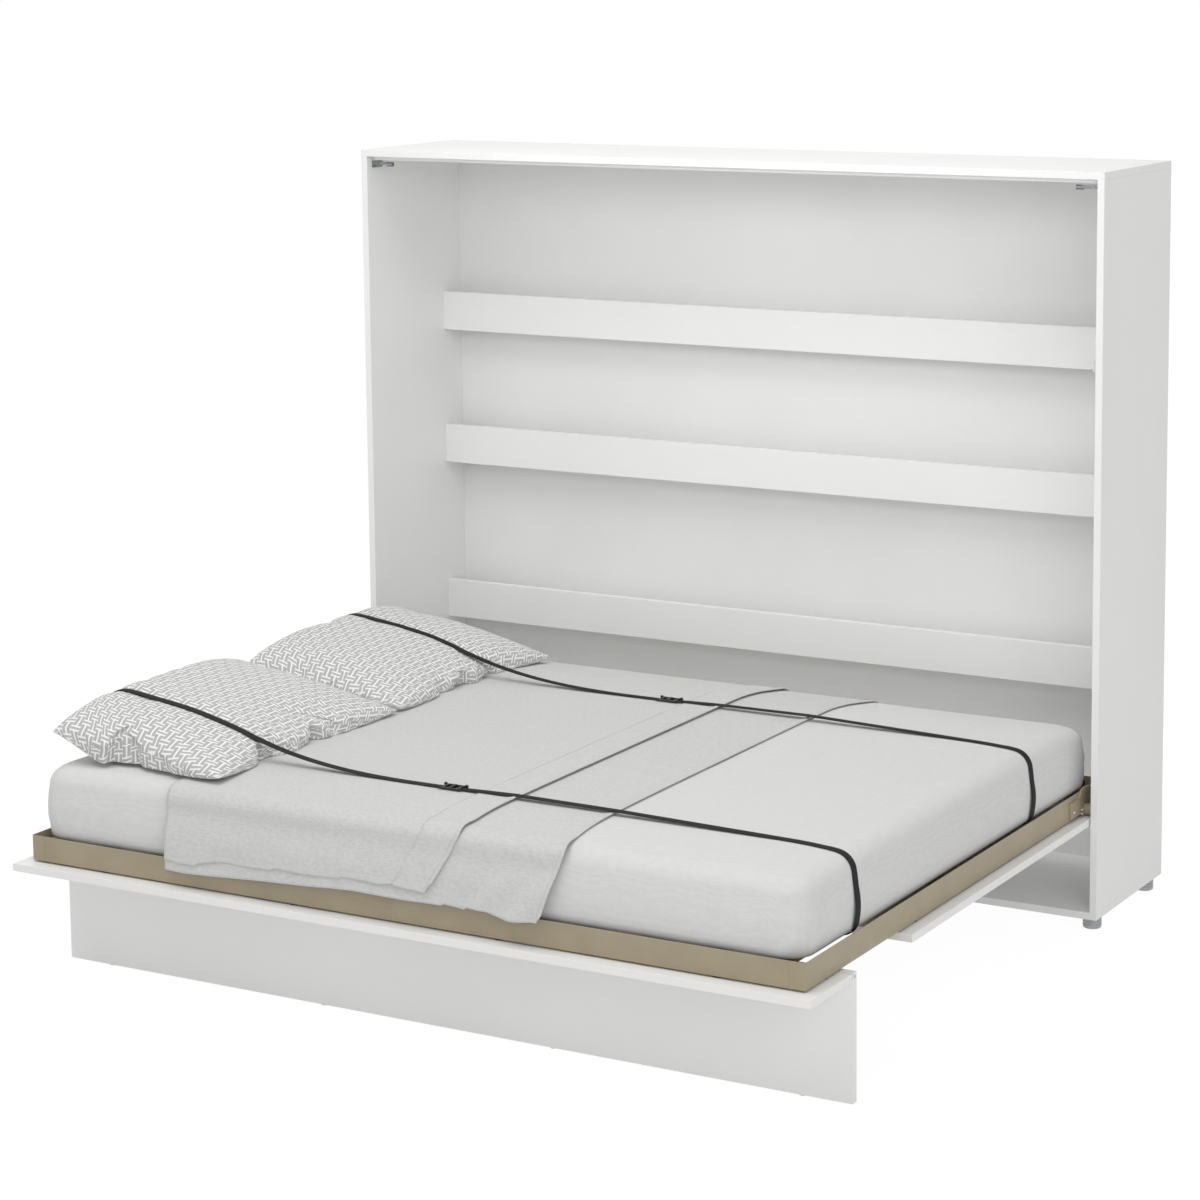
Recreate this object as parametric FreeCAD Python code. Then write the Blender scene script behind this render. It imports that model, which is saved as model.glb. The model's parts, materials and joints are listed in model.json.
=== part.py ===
import FreeCAD, Part
import math
import os

from FreeCAD import Vector

# Horizontal cabinet bed, shown folded down. Millimetres.
# X runs along the cabinet, Y from the foot of the opened bed (-) to the wall (+), Z up.
# The origin is on the floor, in the middle of the opened bed's outline.

# ---------------------------------------------------------------- driving dimensions
# Bedding
mattress_length = 2000.0
mattress_width = 1600.0
mattress_thickness = 180.0
mattress_corner = 60.0
mattress_crown = 12.0
mattress_crown_reach = 250.0
mattress_edge_radius = 44.0
mattress_side_bulge = 5.0
rest_gap = 0.3

# Steel bed frame
mattress_room = 10.0
rail_width = 30.0
rail_tube_height = 36.0
rail_height = 58.5
rail_wall = 2.5
corner_leg = 38.0
corner_tenon = 60.0
tenon_clearance = 0.3
corner_radius = 6.0
beam_width = 40.0
frame_tail = 122.0
frame_front_setback = 36.0

# Sprung slats
slat_count = 14
slat_width = 55.0
slat_thickness = 8.0
slat_crown = 2.0
slat_edge_room = 45.0
holder_height = 12.0
holder_wall = 3.0
holder_depth = 26.0
holder_play = 0.3

# Boards
board = 18.0
back_sheet = 3.0
eased_edge = 0.8
panel_gap = 3.0
closing_gap = 4.0
spacer_height = 4.5
spacer_diameter = 24.0
front_spacer_span = 1600.0
front_spacer_middle = 540.0
rear_spacer_span = 1400.0
beam_spacer_span = 1000.0

# Cabinet
side_room = 32.0
cabinet_depth = 450.0
foot_height = 33.0
foot_diameter = 47.0
foot_pad_height = 10.0
foot_groove = 2.0
foot_stud_diameter = 10.0
foot_stud_length = 14.0
foot_side_inset = 30.0
foot_front_inset = 50.0
foot_back_inset = 45.0
rail_board_height = 106.0
rail_standoff = 71.0
lower_rail_height = 570.0
middle_rail_height = 1012.0
upper_rail_height = 1386.0
seam_drop = 12.0
seam_strip_height = 24.0
seam_strip_thickness = 1.0
seam_web = 1.6
batten_height = 10.0
batten_thickness = 18.0
batten_setback = 22.0
batten_end_gap = 6.0

# Fold
pivot_height = 300.0
pivot_setback = 33.0
pivot_pin_diameter = 16.0
pivot_boss_diameter = 29.0
running_clearance = 0.08
pivot_plate = 5.0
wall_plate = 4.0
wall_plate_height = 100.0
wall_plate_depth = 66.0

# Leg flap
strip_depth = 191.0
leg_gap = 4.5
leg_glide = 2.0
leg_glide_diameter = 20.0
leg_glide_inset = 120.0
leg_bracket = 4.0
leg_bracket_length = 68.0
leg_tab_radius = 8.0
leg_slot_play = 2.0
leg_pin_diameter = 8.0
leg_pin_length = 60.0

# Gas struts
strut_arm = 180.0
strut_bed_angle = 5.0
strut_open_angle = 70.0
strut_body_diameter = 20.0
strut_body_wall = 1.5
strut_rod_diameter = 10.0
strut_rod_clearance = 0.5
strut_eye_diameter = 20.0
strut_eye_width = 12.0
strut_eye_reach = 13.0
strut_pin_diameter = 8.0
strut_gland = 10.0
strut_stop = 4.0

# Fasteners
screw_diameter = 4.0
screw_head_diameter = 8.0
screw_head_height = 2.2
screw_length = 14.0
screw_clearance = 0.1
dowel_diameter = 8.0
dowel_length = 30.0
dowel_in_panel = 12.0
dowel_count = 4
bracket_sheet = 2.5
rail_angle_height = 36.0
rail_angle_leg = 34.0
rail_angle_screw = 22.0
wall_hole_radius = 4.0
wall_bracket_span = 1400.0
wall_bracket_width = 50.0
wall_bracket_height = 35.0
wall_bracket_depth = 40.0
wall_hole_drop = 20.0

# Catches under the top panel, and the small stop on the right-hand side
catch_reach = 64.0
catch_roller_length = 18.0
catch_roller_diameter = 12.0
catch_setback = 24.0
catch_drop = 23.0
stop_height = 1392.0
stop_size = 34.0
stop_reach = 15.0
stop_thickness = 12.0

# Pillows, top sheet and straps
pillow_length = 728.0
pillow_width = 490.0
pillow_height = 132.0
pillow_seam_base = 8.0
pillow_head_seam = 70.0
pillow_crown_share = 0.38
pillow_gap = 0.6
front_pillow_inset = 38.0
pillow_head_inset = 12.0
sheet_thickness = 2.5
sheet_left = -620.0
sheet_right = 430.0
sheet_right_at_hem = 360.0
sheet_hem_overlap = 10.0
sheet_rear_drop = 90.0
sheet_knee_rise = 30.0
sheet_fold_right = 175.0
sheet_fold_at_hem = 81.0
sheet_fold_hem_rise = 15.0
strap_width = 22.0
strap_thickness = 2.0
front_strap_inset = 246.0
rear_strap_inset = 411.0
front_buckle_x = -4.0
rear_buckle_x = 22.0
buckle_length = 62.0
buckle_width = 32.0
buckle_height = 9.0

# ---------------------------------------------------------------- derived places
frame_length = mattress_length + 2 * mattress_room
frame_width = mattress_width + 2 * mattress_room
inner_width = frame_length + 2 * side_room
cabinet_width = inner_width + 2 * board
half_inner = inner_width / 2
half_frame = frame_length / 2
half_panel = half_inner - panel_gap

front_reach = frame_front_setback + frame_width - frame_tail
closed_top = pivot_height + front_reach
cabinet_height = closed_top + panel_gap + board
total_depth = front_reach - pivot_setback + cabinet_depth

panels_front = -total_depth / 2
cabinet_back = total_depth / 2
cabinet_front = cabinet_back - cabinet_depth
board_back = cabinet_back - back_sheet
pivot_y = cabinet_front + pivot_setback
rail_front = board_back - rail_standoff - board

floor_top = foot_height + board
ceiling = cabinet_height - board
panel_bottom = pivot_height - pivot_setback
panel_top = panel_bottom + board
frame_bottom = panel_top + spacer_height
frame_top = frame_bottom + rail_height
tube_top = frame_bottom + rail_tube_height
frame_front = panels_front + frame_front_setback
frame_back = frame_front + frame_width
beam_y = (frame_front + frame_back) / 2

strip_back = panels_front + strip_depth
leg_edge = strip_back + leg_gap
leg_length = panel_top - leg_glide
leg_pivot_y = leg_edge + board / 2
leg_pivot_z = panel_bottom + board / 2
main_front = leg_edge + panel_top + leg_gap
main_back = pivot_y + pivot_height - floor_top - closing_gap

mattress_bottom = tube_top + holder_height + rest_gap
mattress_top = mattress_bottom + mattress_thickness
mattress_front = frame_front + mattress_room
mattress_back = frame_back - mattress_room
half_mattress = mattress_length / 2

X = Vector(1, 0, 0)
Y = Vector(0, 1, 0)
Z = Vector(0, 0, 1)


# ---------------------------------------------------------------- shape helpers
def slab(x0, x1, y0, y1, z0, z1, ease=0.0):
    """A box between two corners, its edges eased where ease is given."""
    solid = Part.makeBox(x1 - x0, y1 - y0, z1 - z0, Vector(x0, y0, z0))
    if ease:
        solid = solid.makeFillet(ease, solid.Edges)
    return solid


def rod(start, direction, radius, length):
    """A round bar from start along direction."""
    return Part.makeCylinder(radius, length, start, direction)


def mirrored(solid):
    """The same piece on the other side of the middle plane."""
    return solid.mirror(Vector(0, 0, 0), X)


def both_sides(solid):
    """A piece and its mirror image."""
    return [solid, mirrored(solid)]


def cut(solid, tools):
    """Solid without the tools."""
    return solid.cut(tools) if tools else solid


def joined(solids):
    """Solids that touch or overlap, as one."""
    return solids[0].fuse(solids[1:]).removeSplitter()


def screw(head, into):
    """A round-headed screw whose head sits at point head and whose shank runs along into."""
    cap = rod(head - into * screw_head_height, into, screw_head_diameter / 2, screw_head_height)
    return joined([cap, rod(head, into, screw_diameter / 2, screw_length)])


def screw_hole(head, into, depth=None):
    """The clearance hole of a screw, from just outside its seat."""
    run = (screw_length + 1.0) if depth is None else depth
    return rod(head - into, into, screw_diameter / 2 + screw_clearance, run + 1.0)


def spaced(low, high, count):
    """Count even places from low to high, both included."""
    return [low + (high - low) * i / (count - 1) for i in range(count)]


def save(name, solids):
    """Write one sub-part; identical fasteners come as a list of separate solids."""
    shape = Part.makeCompound(solids) if isinstance(solids, list) else solids
    shape.exportStep("parts/" + name + ".step")


# ---------------------------------------------------------------- cabinet
def panel_dowels():
    """Dowels that join the sides to the top and bottom panels."""
    places = spaced(cabinet_front + 50.0, board_back - 50.0, dowel_count)
    x = half_inner + board / 2
    in_side = dowel_length - dowel_in_panel
    pegs = []
    for y in places:
        for low in (ceiling - in_side, floor_top - dowel_in_panel):
            pegs += both_sides(rod(Vector(x, y, low + 0.5), Z, dowel_diameter / 2, dowel_length - 1.0))
    return pegs


def dowel_holes():
    """Bores of the dowels, 0.5 mm longer at each end."""
    places = spaced(cabinet_front + 50.0, board_back - 50.0, dowel_count)
    x = half_inner + board / 2
    in_side = dowel_length - dowel_in_panel
    radius = dowel_diameter / 2 + screw_clearance
    bores = []
    for y in places:
        for low in (ceiling - in_side, floor_top - dowel_in_panel):
            bores += both_sides(rod(Vector(x, y, low), Z, radius, dowel_length))
    return bores


def foot_places():
    """Foot axes: four corners and the middle of the front and back edges."""
    reach = cabinet_width / 2 - foot_side_inset
    rows = (cabinet_front + foot_front_inset, cabinet_back - foot_back_inset)
    return [(x, y) for y in rows for x in (-reach, 0.0, reach)]


def foot():
    """One screwed plastic foot about its own axis, standing on the floor."""
    radius = foot_diameter / 2
    neck = radius - foot_groove
    outline = [
        (0, 0), (radius - 3.0, 0), (radius - 1.0, 2.0), (radius - 1.0, foot_pad_height),
        (neck, foot_pad_height), (neck, foot_pad_height + foot_groove),
        (radius, foot_pad_height + foot_groove), (radius, foot_height),
        (foot_stud_diameter / 2, foot_height),
        (foot_stud_diameter / 2, foot_height + foot_stud_length),
        (0, foot_height + foot_stud_length), (0, 0),
    ]
    wire = Part.makePolygon([Vector(r, 0, z) for r, z in outline])
    return Part.Face(wire).revolve(Vector(0, 0, 0), Z, 360)


def feet():
    """All feet in place."""
    one = foot()
    placed = []
    for x, y in foot_places():
        copy = one.copy()
        copy.translate(Vector(x, y, 0))
        placed.append(copy)
    return placed


def foot_holes():
    """Threaded inserts' bores in the bottom panel."""
    radius = foot_stud_diameter / 2 + screw_clearance
    low = foot_height - 1.0
    return [rod(Vector(x, y, low), Z, radius, foot_stud_length + 1.5) for x, y in foot_places()]


def wall_plate_screws():
    """Seats of the screws that hold the right-hand pivot plate, on its inner face."""
    x = half_inner
    ys = (cabinet_front + 14.0, cabinet_front + wall_plate_depth - 6.0)
    zs = (pivot_height - wall_plate_height / 2 + 10.0, pivot_height + wall_plate_height / 2 - 10.0)
    return [Vector(x, y, z) for y in ys for z in zs]


def countersunk(head, into):
    """A flush screw: its cone ends level with the plate's face."""
    cone_height = (screw_head_diameter - screw_diameter) / 2
    cone = Part.makeCone(screw_head_diameter / 2, screw_diameter / 2, cone_height, head, into)
    return joined([cone, rod(head, into, screw_diameter / 2, screw_length)])


def countersunk_hole(head, into):
    """The hole for a flush screw, with its clearance."""
    grow = screw_clearance
    cone_height = (screw_head_diameter - screw_diameter) / 2
    cone = Part.makeCone(
        screw_head_diameter / 2 + grow, screw_diameter / 2 + grow, cone_height, head, into
    )
    return joined([cone, rod(head, into, screw_diameter / 2 + grow, screw_length + 1.0)])


def wall_plate_right():
    """Steel plate let flush into the right-hand side panel, which carries the pivot pin."""
    y0 = cabinet_front + 6.0
    plate = slab(
        half_inner, half_inner + wall_plate, y0, y0 + wall_plate_depth,
        pivot_height - wall_plate_height / 2, pivot_height + wall_plate_height / 2,
    )
    bore = rod(Vector(half_inner - 1, pivot_y, pivot_height), X, pivot_pin_diameter / 2, wall_plate + 2)
    return cut(plate, [bore] + [countersunk_hole(p, X) for p in wall_plate_screws()])


def pivot_pin_right():
    """Shouldered pin riveted in the wall plate and reaching into the bed's boss."""
    inner_end = half_frame + 0.5
    shank = rod(
        Vector(inner_end, pivot_y, pivot_height), X, pivot_pin_diameter / 2,
        half_inner + wall_plate - inner_end,
    )
    return shank.makeChamfer(1.0, [shank.Edges[0]])


def strut_point(angle):
    """A point of the strut circle about the pivot, at an angle above +Y, as (y, z)."""
    a = math.radians(angle)
    return pivot_y + strut_arm * math.cos(a), pivot_height + strut_arm * math.sin(a)


strut_top = strut_point(strut_bed_angle + strut_open_angle)
strut_foot = strut_point(strut_bed_angle)
strut_x = (half_frame + pivot_plate + half_inner) / 2
strut_plate_size = 38.0
strut_plate = 2.5


def strut_wall_screws():
    """Screw seats of the strut's wall plate."""
    y, z = strut_top
    reach = strut_plate_size / 2 - 7.0
    return [Vector(half_inner - strut_plate, y + s, z + reach - 2.0) for s in (-reach, reach)]


def strut_wall_bracket_right():
    """Plate with the stud that the strut's cylinder hangs on."""
    y, z = strut_top
    half = strut_plate_size / 2
    plate = slab(half_inner - strut_plate, half_inner, y - half, y + half, z - half, z + half)
    plate = cut(plate, [screw_hole(p, X) for p in strut_wall_screws()])
    inner_end = strut_x - strut_eye_width / 2 - 2.0
    stud = rod(
        Vector(inner_end, y, z), X, strut_pin_diameter / 2, half_inner - strut_plate - inner_end + 0.5
    )
    return joined([plate, stud])


def catch_seat():
    """Lowest front corner of the right-hand catch plate, as (y, z)."""
    return cabinet_front + catch_setback, ceiling - catch_drop


def catch_screws():
    """Screw seats of the right-hand catch."""
    y, z = catch_seat()
    return [Vector(half_inner - bracket_sheet, y + 20.0 + d, z) for d in (0.0, 18.0)]


def catch_right():
    """Angle plate and roller that guide the closed frame, near the cabinet's top front corner."""
    y, z = catch_seat()
    low, high = z - 8.0, z + 8.0
    flange = slab(half_inner - bracket_sheet, half_inner, y, y + 46.0, low, high)
    arm_end = half_inner - catch_reach + catch_roller_length
    arm = slab(arm_end - 2.0, half_inner, y, y + bracket_sheet, z - 1.0, high)
    arm = cut(arm, [rod(Vector(half_inner - 22.0, y - 1, z + 3.5), Y, 3.0, bracket_sheet + 2)])
    plate = cut(joined([flange, arm]), [screw_hole(p, X) for p in catch_screws()])
    roller = rod(
        Vector(half_inner - catch_reach, y + 5.0, z + 2.0), X,
        catch_roller_diameter / 2, catch_roller_length,
    )
    return joined([plate, roller])


def stop_screws():
    """Screw seats of the small stop."""
    y = cabinet_front + batten_setback + 6.0
    x = half_inner - stop_reach
    return [Vector(x, y, stop_height + s) for s in (-9.0, 9.0)]


def side_stop():
    """Small screwed block on the right-hand side that the closed front meets."""
    y0 = cabinet_front + board + 2.0
    block = slab(
        half_inner - stop_reach, half_inner, y0, y0 + stop_thickness,
        stop_height - stop_size / 2, stop_height + stop_size / 2, 1.5,
    )
    return cut(block, [screw_hole(p, X, stop_reach + 1.0) for p in stop_screws()])


def rail_angles():
    """Right-hand angle plates behind the three rails, as (plate, screws) pairs."""
    made = []
    y = rail_front + board
    for z in (lower_rail_height, middle_rail_height, upper_rail_height):
        low, high = z - rail_angle_height / 2, z + rail_angle_height / 2
        on_side = slab(half_inner - bracket_sheet, half_inner, y, y + rail_angle_leg, low, high)
        on_rail = slab(half_inner - rail_angle_leg, half_inner, y, y + bracket_sheet, low, high)
        side_seat = Vector(half_inner - bracket_sheet, y + rail_angle_screw, z)
        rail_seat = Vector(half_inner - rail_angle_screw, y + bracket_sheet, z)
        plate = joined([on_side, on_rail])
        plate = cut(plate, [screw_hole(side_seat, X), screw_hole(rail_seat, -Y)])
        made.append((plate, [(side_seat, X), (rail_seat, -Y)]))
    return made


def wall_brackets():
    """Angle brackets under the top panel for the two wall bolts, with their screws."""
    made = []
    for x in (-wall_bracket_span / 2, wall_bracket_span / 2):
        x0, x1 = x - wall_bracket_width / 2, x + wall_bracket_width / 2
        upright = slab(x0, x1, board_back - bracket_sheet, board_back, ceiling - wall_bracket_height, ceiling)
        shelf = slab(x0, x1, board_back - wall_bracket_depth, board_back, ceiling - bracket_sheet, ceiling)
        seats = [Vector(x + s, board_back - 24.0, ceiling - bracket_sheet) for s in (-15.0, 15.0)]
        plate = cut(joined([upright, shelf]), [screw_hole(p, Z) for p in seats] + [wall_bore(x)])
        made.append((plate, [(p, Z) for p in seats]))
    return made


def wall_bore(x):
    """Hole for one wall bolt through bracket and back sheet."""
    start = Vector(x, board_back - bracket_sheet - 1.0, ceiling - wall_hole_drop)
    return rod(start, Y, wall_hole_radius, bracket_sheet + back_sheet + 2.0)


def rail_board(z):
    """One white cross rail in front of the back."""
    half = rail_board_height / 2
    return slab(-half_inner, half_inner, rail_front, rail_front + board, z - half, z + half, eased_edge)


def back_sheets():
    """Three hardboard sheets, their seams behind the lower and upper rails."""
    half = cabinet_width / 2 - 1.5
    seams = [lower_rail_height - seam_drop, upper_rail_height - seam_drop]
    edges = [foot_height + 2.0] + seams + [cabinet_height - 2.0]
    room = (seam_web + 0.4) / 2
    sheets = []
    for i in range(3):
        low = edges[i] + (room if i else 0.0)
        high = edges[i + 1] - (room if i < 2 else 0.0)
        sheets.append(slab(-half, half, board_back, cabinet_back, low, high))
    bores = [wall_bore(x) for x in (-wall_bracket_span / 2, wall_bracket_span / 2)]
    sheets[2] = cut(sheets[2], bores)
    return sheets


def seam_strips():
    """T-shaped strips that cover the seams of the back sheets."""
    strips = []
    half = half_inner - 0.5
    for z in (lower_rail_height - seam_drop, upper_rail_height - seam_drop):
        low, high = z - seam_strip_height / 2, z + seam_strip_height / 2
        flange = slab(-half, half, board_back - seam_strip_thickness, board_back, low, high)
        web = slab(-half, half, board_back - 0.5, cabinet_back - 0.5, z - seam_web / 2, z + seam_web / 2)
        strips.append(joined([flange, web]))
    return strips


def make_cabinet():
    """Carcass, rails, back, feet and the fittings fixed to it."""
    half = cabinet_width / 2
    bores = dowel_holes()
    angles = rail_angles()
    angle_seats = [seat for _, seats in angles for seat in seats]
    hangers = wall_brackets()
    hanger_seats = [seat for _, seats in hangers for seat in seats]

    top = slab(-half, half, cabinet_front, board_back, ceiling, cabinet_height, eased_edge)
    save("top_panel", cut(top, bores + [screw_hole(p, d) for p, d in hanger_seats]))
    bottom = slab(-half, half, cabinet_front, board_back, foot_height, floor_top, eased_edge)
    save("bottom_panel", cut(bottom, bores + foot_holes()))

    y0 = cabinet_front + 6.0
    pocket = slab(
        half_inner - 1, half_inner + wall_plate, y0, y0 + wall_plate_depth,
        pivot_height - wall_plate_height / 2, pivot_height + wall_plate_height / 2,
    )
    shared = [pocket] + [countersunk_hole(p, X) for p in wall_plate_screws()]
    shared += [screw_hole(p, X) for p in strut_wall_screws() + catch_screws()]
    shared += [screw_hole(p, d) for p, d in angle_seats if d.x]
    side = slab(half_inner, half, cabinet_front, board_back, floor_top, ceiling, eased_edge)
    side = cut(side, bores + shared)
    save("side_panel_left", mirrored(side))
    save("side_panel_right", cut(side, [screw_hole(p, X, stop_reach + 9.0) for p in stop_screws()]))

    rail_bores = [screw_hole(p, d) for p, d in angle_seats if d.y]
    rail_bores += [mirrored(b) for b in rail_bores]
    save("cross_rail_lower", cut(rail_board(lower_rail_height), rail_bores))
    save("cross_rail_middle", cut(rail_board(middle_rail_height), rail_bores))
    save("cross_rail_upper", cut(rail_board(upper_rail_height), rail_bores))

    for name, sheet in zip(("lower", "middle", "upper"), back_sheets()):
        save("back_sheet_" + name, sheet)
    save("back_seam_strips", seam_strips())

    reach = half_inner - batten_end_gap
    y0 = cabinet_front + batten_setback
    batten = slab(-reach, reach, y0, y0 + batten_thickness, ceiling - batten_height, ceiling, 0.5)
    save("stop_batten", batten)

    save("feet", feet())
    save("panel_dowels", panel_dowels())
    save("wall_brackets", [plate for plate, _ in hangers])
    save("rail_angle_plates", [s for plate, _ in angles for s in both_sides(plate)])

    save("pivot_wall_plates", both_sides(wall_plate_right()))
    save("pivot_pins", both_sides(pivot_pin_right()))
    save("strut_wall_brackets", both_sides(strut_wall_bracket_right()))
    save("catch_right", catch_right())
    save("catch_left", mirrored(catch_right()))
    save("side_stop", side_stop())

    paired = [countersunk(p, X) for p in wall_plate_screws()]
    paired += [screw(p, X) for p in strut_wall_screws() + catch_screws()]
    paired += [screw(p, d) for p, d in angle_seats]
    single = [screw(p, d) for p, d in hanger_seats]
    single += [stop_screw(p) for p in stop_screws()]
    save("cabinet_screws", [s for one in paired for s in both_sides(one)] + single)


def stop_screw(seat):
    """Longer screw through the small stop."""
    head = rod(seat - X * screw_head_height, X, screw_head_diameter / 2, screw_head_height)
    return joined([head, rod(seat, X, screw_diameter / 2, stop_reach + 8.0)])


# ---------------------------------------------------------------- bed frame
def rail(length, corner, degrees):
    """A closed tube with a raised outer lip, laid from corner along +Y and turned."""
    inner = rail_width - rail_wall
    tube = slab(0, rail_width, 0, length, 0, rail_tube_height)
    lip = slab(0, rail_wall, 0, length, 0, rail_height)
    hollow = slab(rail_wall, inner, -1, length + 1, rail_wall, rail_tube_height - rail_wall)
    solid = joined([tube, lip]).cut(hollow)
    solid.rotate(Vector(0, 0, 0), Z, degrees)
    solid.translate(corner)
    return solid


def corner_piece(corner, degrees):
    """Corner with its two tenons; built in the front left corner's place and turned."""
    leg, low = corner_leg, rail_tube_height
    block = slab(0, leg, 0, leg, 0, low)
    lips = [slab(0, leg, 0, rail_wall, 0, rail_height), slab(0, rail_wall, 0, leg, 0, rail_height)]
    body = joined([block] + lips)
    upright = [e for e in body.Edges if is_outer_upright(e)]
    body = body.makeFillet(corner_radius, upright)
    near, far = rail_wall + tenon_clearance, rail_width - rail_wall - tenon_clearance
    bottom, top = rail_wall + tenon_clearance, low - rail_wall - tenon_clearance
    tenons = [
        slab(leg - 1, leg + corner_tenon, near, far, bottom, top),
        slab(near, far, leg - 1, leg + corner_tenon, bottom, top),
    ]
    piece = joined([body] + tenons)
    piece.rotate(Vector(0, 0, 0), Z, degrees)
    piece.translate(corner)
    return piece


def is_outer_upright(edge):
    """True for the corner's outer vertical edge, at the local origin."""
    ends = [v.Point for v in edge.Vertexes]
    at_corner = all(abs(p.x) < 0.01 and abs(p.y) < 0.01 for p in ends)
    return len(ends) == 2 and at_corner and abs(ends[0].z - ends[1].z) > 1.0


def spacer_places():
    """Board spacers under the frame, as (x, y); the same screws hold the boards."""
    side = half_frame - rail_width / 2
    front = frame_front + rail_width / 2
    back = frame_back - rail_width / 2
    rows = [(s * span / 2, front) for span in (front_spacer_span, front_spacer_middle) for s in (-1, 1)]
    rows += [(x, back) for x in spaced(-rear_spacer_span / 2, rear_spacer_span / 2, 3)]
    rows += [(s * beam_spacer_span / 2, beam_y) for s in (-1, 1)]
    rows += [(s * side, y) for s in (-1, 1) for y in (strip_back - 50.0, main_front + 90.0, pivot_y - 280.0)]
    return rows


def panel_screw(x, y):
    """Screw from inside a frame tube, down through a spacer into a front panel."""
    seat = Vector(x, y, frame_bottom + rail_wall)
    return screw(seat, -Z)


def panel_screw_holes():
    """Clearance holes of the panel screws through tube floor, spacer and panel."""
    return [screw_hole(Vector(x, y, frame_bottom + rail_wall), -Z) for x, y in spacer_places()]


def bed_plate_outline():
    """Outline of the bed's pivot plate: along the rail, up at the pivot, back to the strut stud."""
    y, z = strut_foot
    low, high = frame_bottom, frame_top
    tail = y + strut_pin_diameter + 4.0
    points = [
        (pivot_y - 92.0, low + 4.0), (pivot_y - 92.0, high - 14.0), (pivot_y - 40.0, high - 14.0),
        (pivot_y - 18.0, high + 6.0), (pivot_y + 22.0, high + 6.0), (pivot_y + 60.0, high - 6.0),
        (tail, z + 16.0), (tail, low + 4.0),
    ]
    return points + points[:1]


def bed_plate_bolts():
    """Bolt seats of the right-hand bed plate, on its outer face."""
    x = half_frame + pivot_plate
    places = [(-78.0, 20.0), (-24.0, 4.5), (-24.0, 14.0), (75.0, 14.0)]
    return [Vector(x, pivot_y + dy, frame_bottom + dz) for dy, dz in places]


def bed_plate_right():
    """Steel plate on the side rail with the pivot boss."""
    wire = Part.makePolygon([Vector(half_frame, y, z) for y, z in bed_plate_outline()])
    plate = Part.Face(wire).extrude(X * pivot_plate)
    face = half_frame + pivot_plate
    length = half_inner - 3.5 - face
    boss = rod(Vector(face - 1, pivot_y, pivot_height), X, pivot_boss_diameter / 2, length + 1)
    bore_radius = pivot_pin_diameter / 2 + running_clearance
    bore = rod(Vector(half_frame - 1, pivot_y, pivot_height), X, bore_radius, length + pivot_plate + 2)
    y, z = strut_foot
    stud_hole = rod(Vector(half_frame - 1, y, z), X, strut_pin_diameter / 2, pivot_plate + 2)
    holes = [screw_hole(p, -X) for p in bed_plate_bolts()]
    return cut(joined([plate, boss]), [bore, stud_hole] + holes)


def bed_strut_stud_right():
    """Stud of the strut's rod end, riveted in the bed plate."""
    y, z = strut_foot
    length = strut_x + strut_eye_width / 2 + 2.0 - half_frame
    return rod(Vector(half_frame, y, z), X, strut_pin_diameter / 2, length)


leg_bracket_x = half_frame - rail_width - leg_bracket / 2
leg_slot_width = leg_bracket + 2 * leg_slot_play


def leg_bracket_screws():
    """Screw seats of the right-hand leg bracket, on its inner face."""
    x = leg_bracket_x - leg_bracket / 2
    z = frame_bottom + rail_tube_height / 2
    return [Vector(x, leg_pivot_y + s, z) for s in (-24.0, 24.0)]


def leg_bracket_right():
    """Plate on the side rail's inner face, with the tab that carries the leg flap's pin."""
    x0 = leg_bracket_x - leg_bracket / 2
    half = leg_bracket_length / 2
    plate = slab(
        x0, x0 + leg_bracket, leg_pivot_y - half, leg_pivot_y + half,
        frame_bottom + 1.0, frame_bottom + rail_tube_height - 2.0,
    )
    tab = slab(
        x0, x0 + leg_bracket, leg_pivot_y - leg_tab_radius, leg_pivot_y + leg_tab_radius,
        leg_pivot_z, frame_bottom + 2.0,
    )
    eye = rod(Vector(x0, leg_pivot_y, leg_pivot_z), X, leg_tab_radius, leg_bracket)
    bore = rod(Vector(x0 - 1, leg_pivot_y, leg_pivot_z), X, leg_pin_diameter / 2, leg_bracket + 2)
    return cut(joined([plate, tab, eye]), [bore] + [screw_hole(p, X) for p in leg_bracket_screws()])


def leg_pin_right():
    """Pin through the tab, into the flap on both sides of its slot."""
    start = Vector(leg_bracket_x - leg_pin_length / 2, leg_pivot_y, leg_pivot_z)
    return rod(start, X, leg_pin_diameter / 2, leg_pin_length)


def slat_rows():
    """Slat centres along X."""
    reach = half_frame - rail_width - slat_edge_room
    return spaced(-reach, reach, slat_count)


def slat(x, y0, y1):
    """One slightly bowed slat between two holders."""
    low = tube_top + (holder_height - slat_thickness - slat_crown) / 2
    mid = (y0 + y1) / 2
    x0 = x - slat_width / 2

    def at(y, z):
        return Vector(x0, y, z)

    under = Part.Arc(at(y0, low), at(mid, low + slat_crown), at(y1, low)).toShape()
    top = low + slat_thickness
    over = Part.Arc(at(y1, top), at(mid, top + slat_crown), at(y0, top)).toShape()
    ends = [Part.makeLine(at(y1, low), at(y1, top)), Part.makeLine(at(y0, top), at(y0, low))]
    return Part.Face(Part.Wire([under, ends[0], over, ends[1]])).extrude(X * slat_width)


def holder(x, y0, y1, open_high):
    """Plastic cap of a slat's end; open_high says which end the slat leaves by."""
    half = slat_width / 2 + holder_play + holder_wall
    low = tube_top
    cap = slab(x - half, x + half, y0, y1, low, low + holder_height)
    inner = slat_width / 2 + holder_play
    floor = low + (holder_height - slat_thickness - slat_crown) / 2 - holder_play
    pocket_y = (y0 + holder_wall, y1 + 1) if open_high else (y0 - 1, y1 - holder_wall)
    pocket = slab(
        x - inner, x + inner, pocket_y[0], pocket_y[1],
        floor, floor + slat_thickness + 2 * holder_play + 0.2,
    )
    return cap.cut(pocket)


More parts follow.
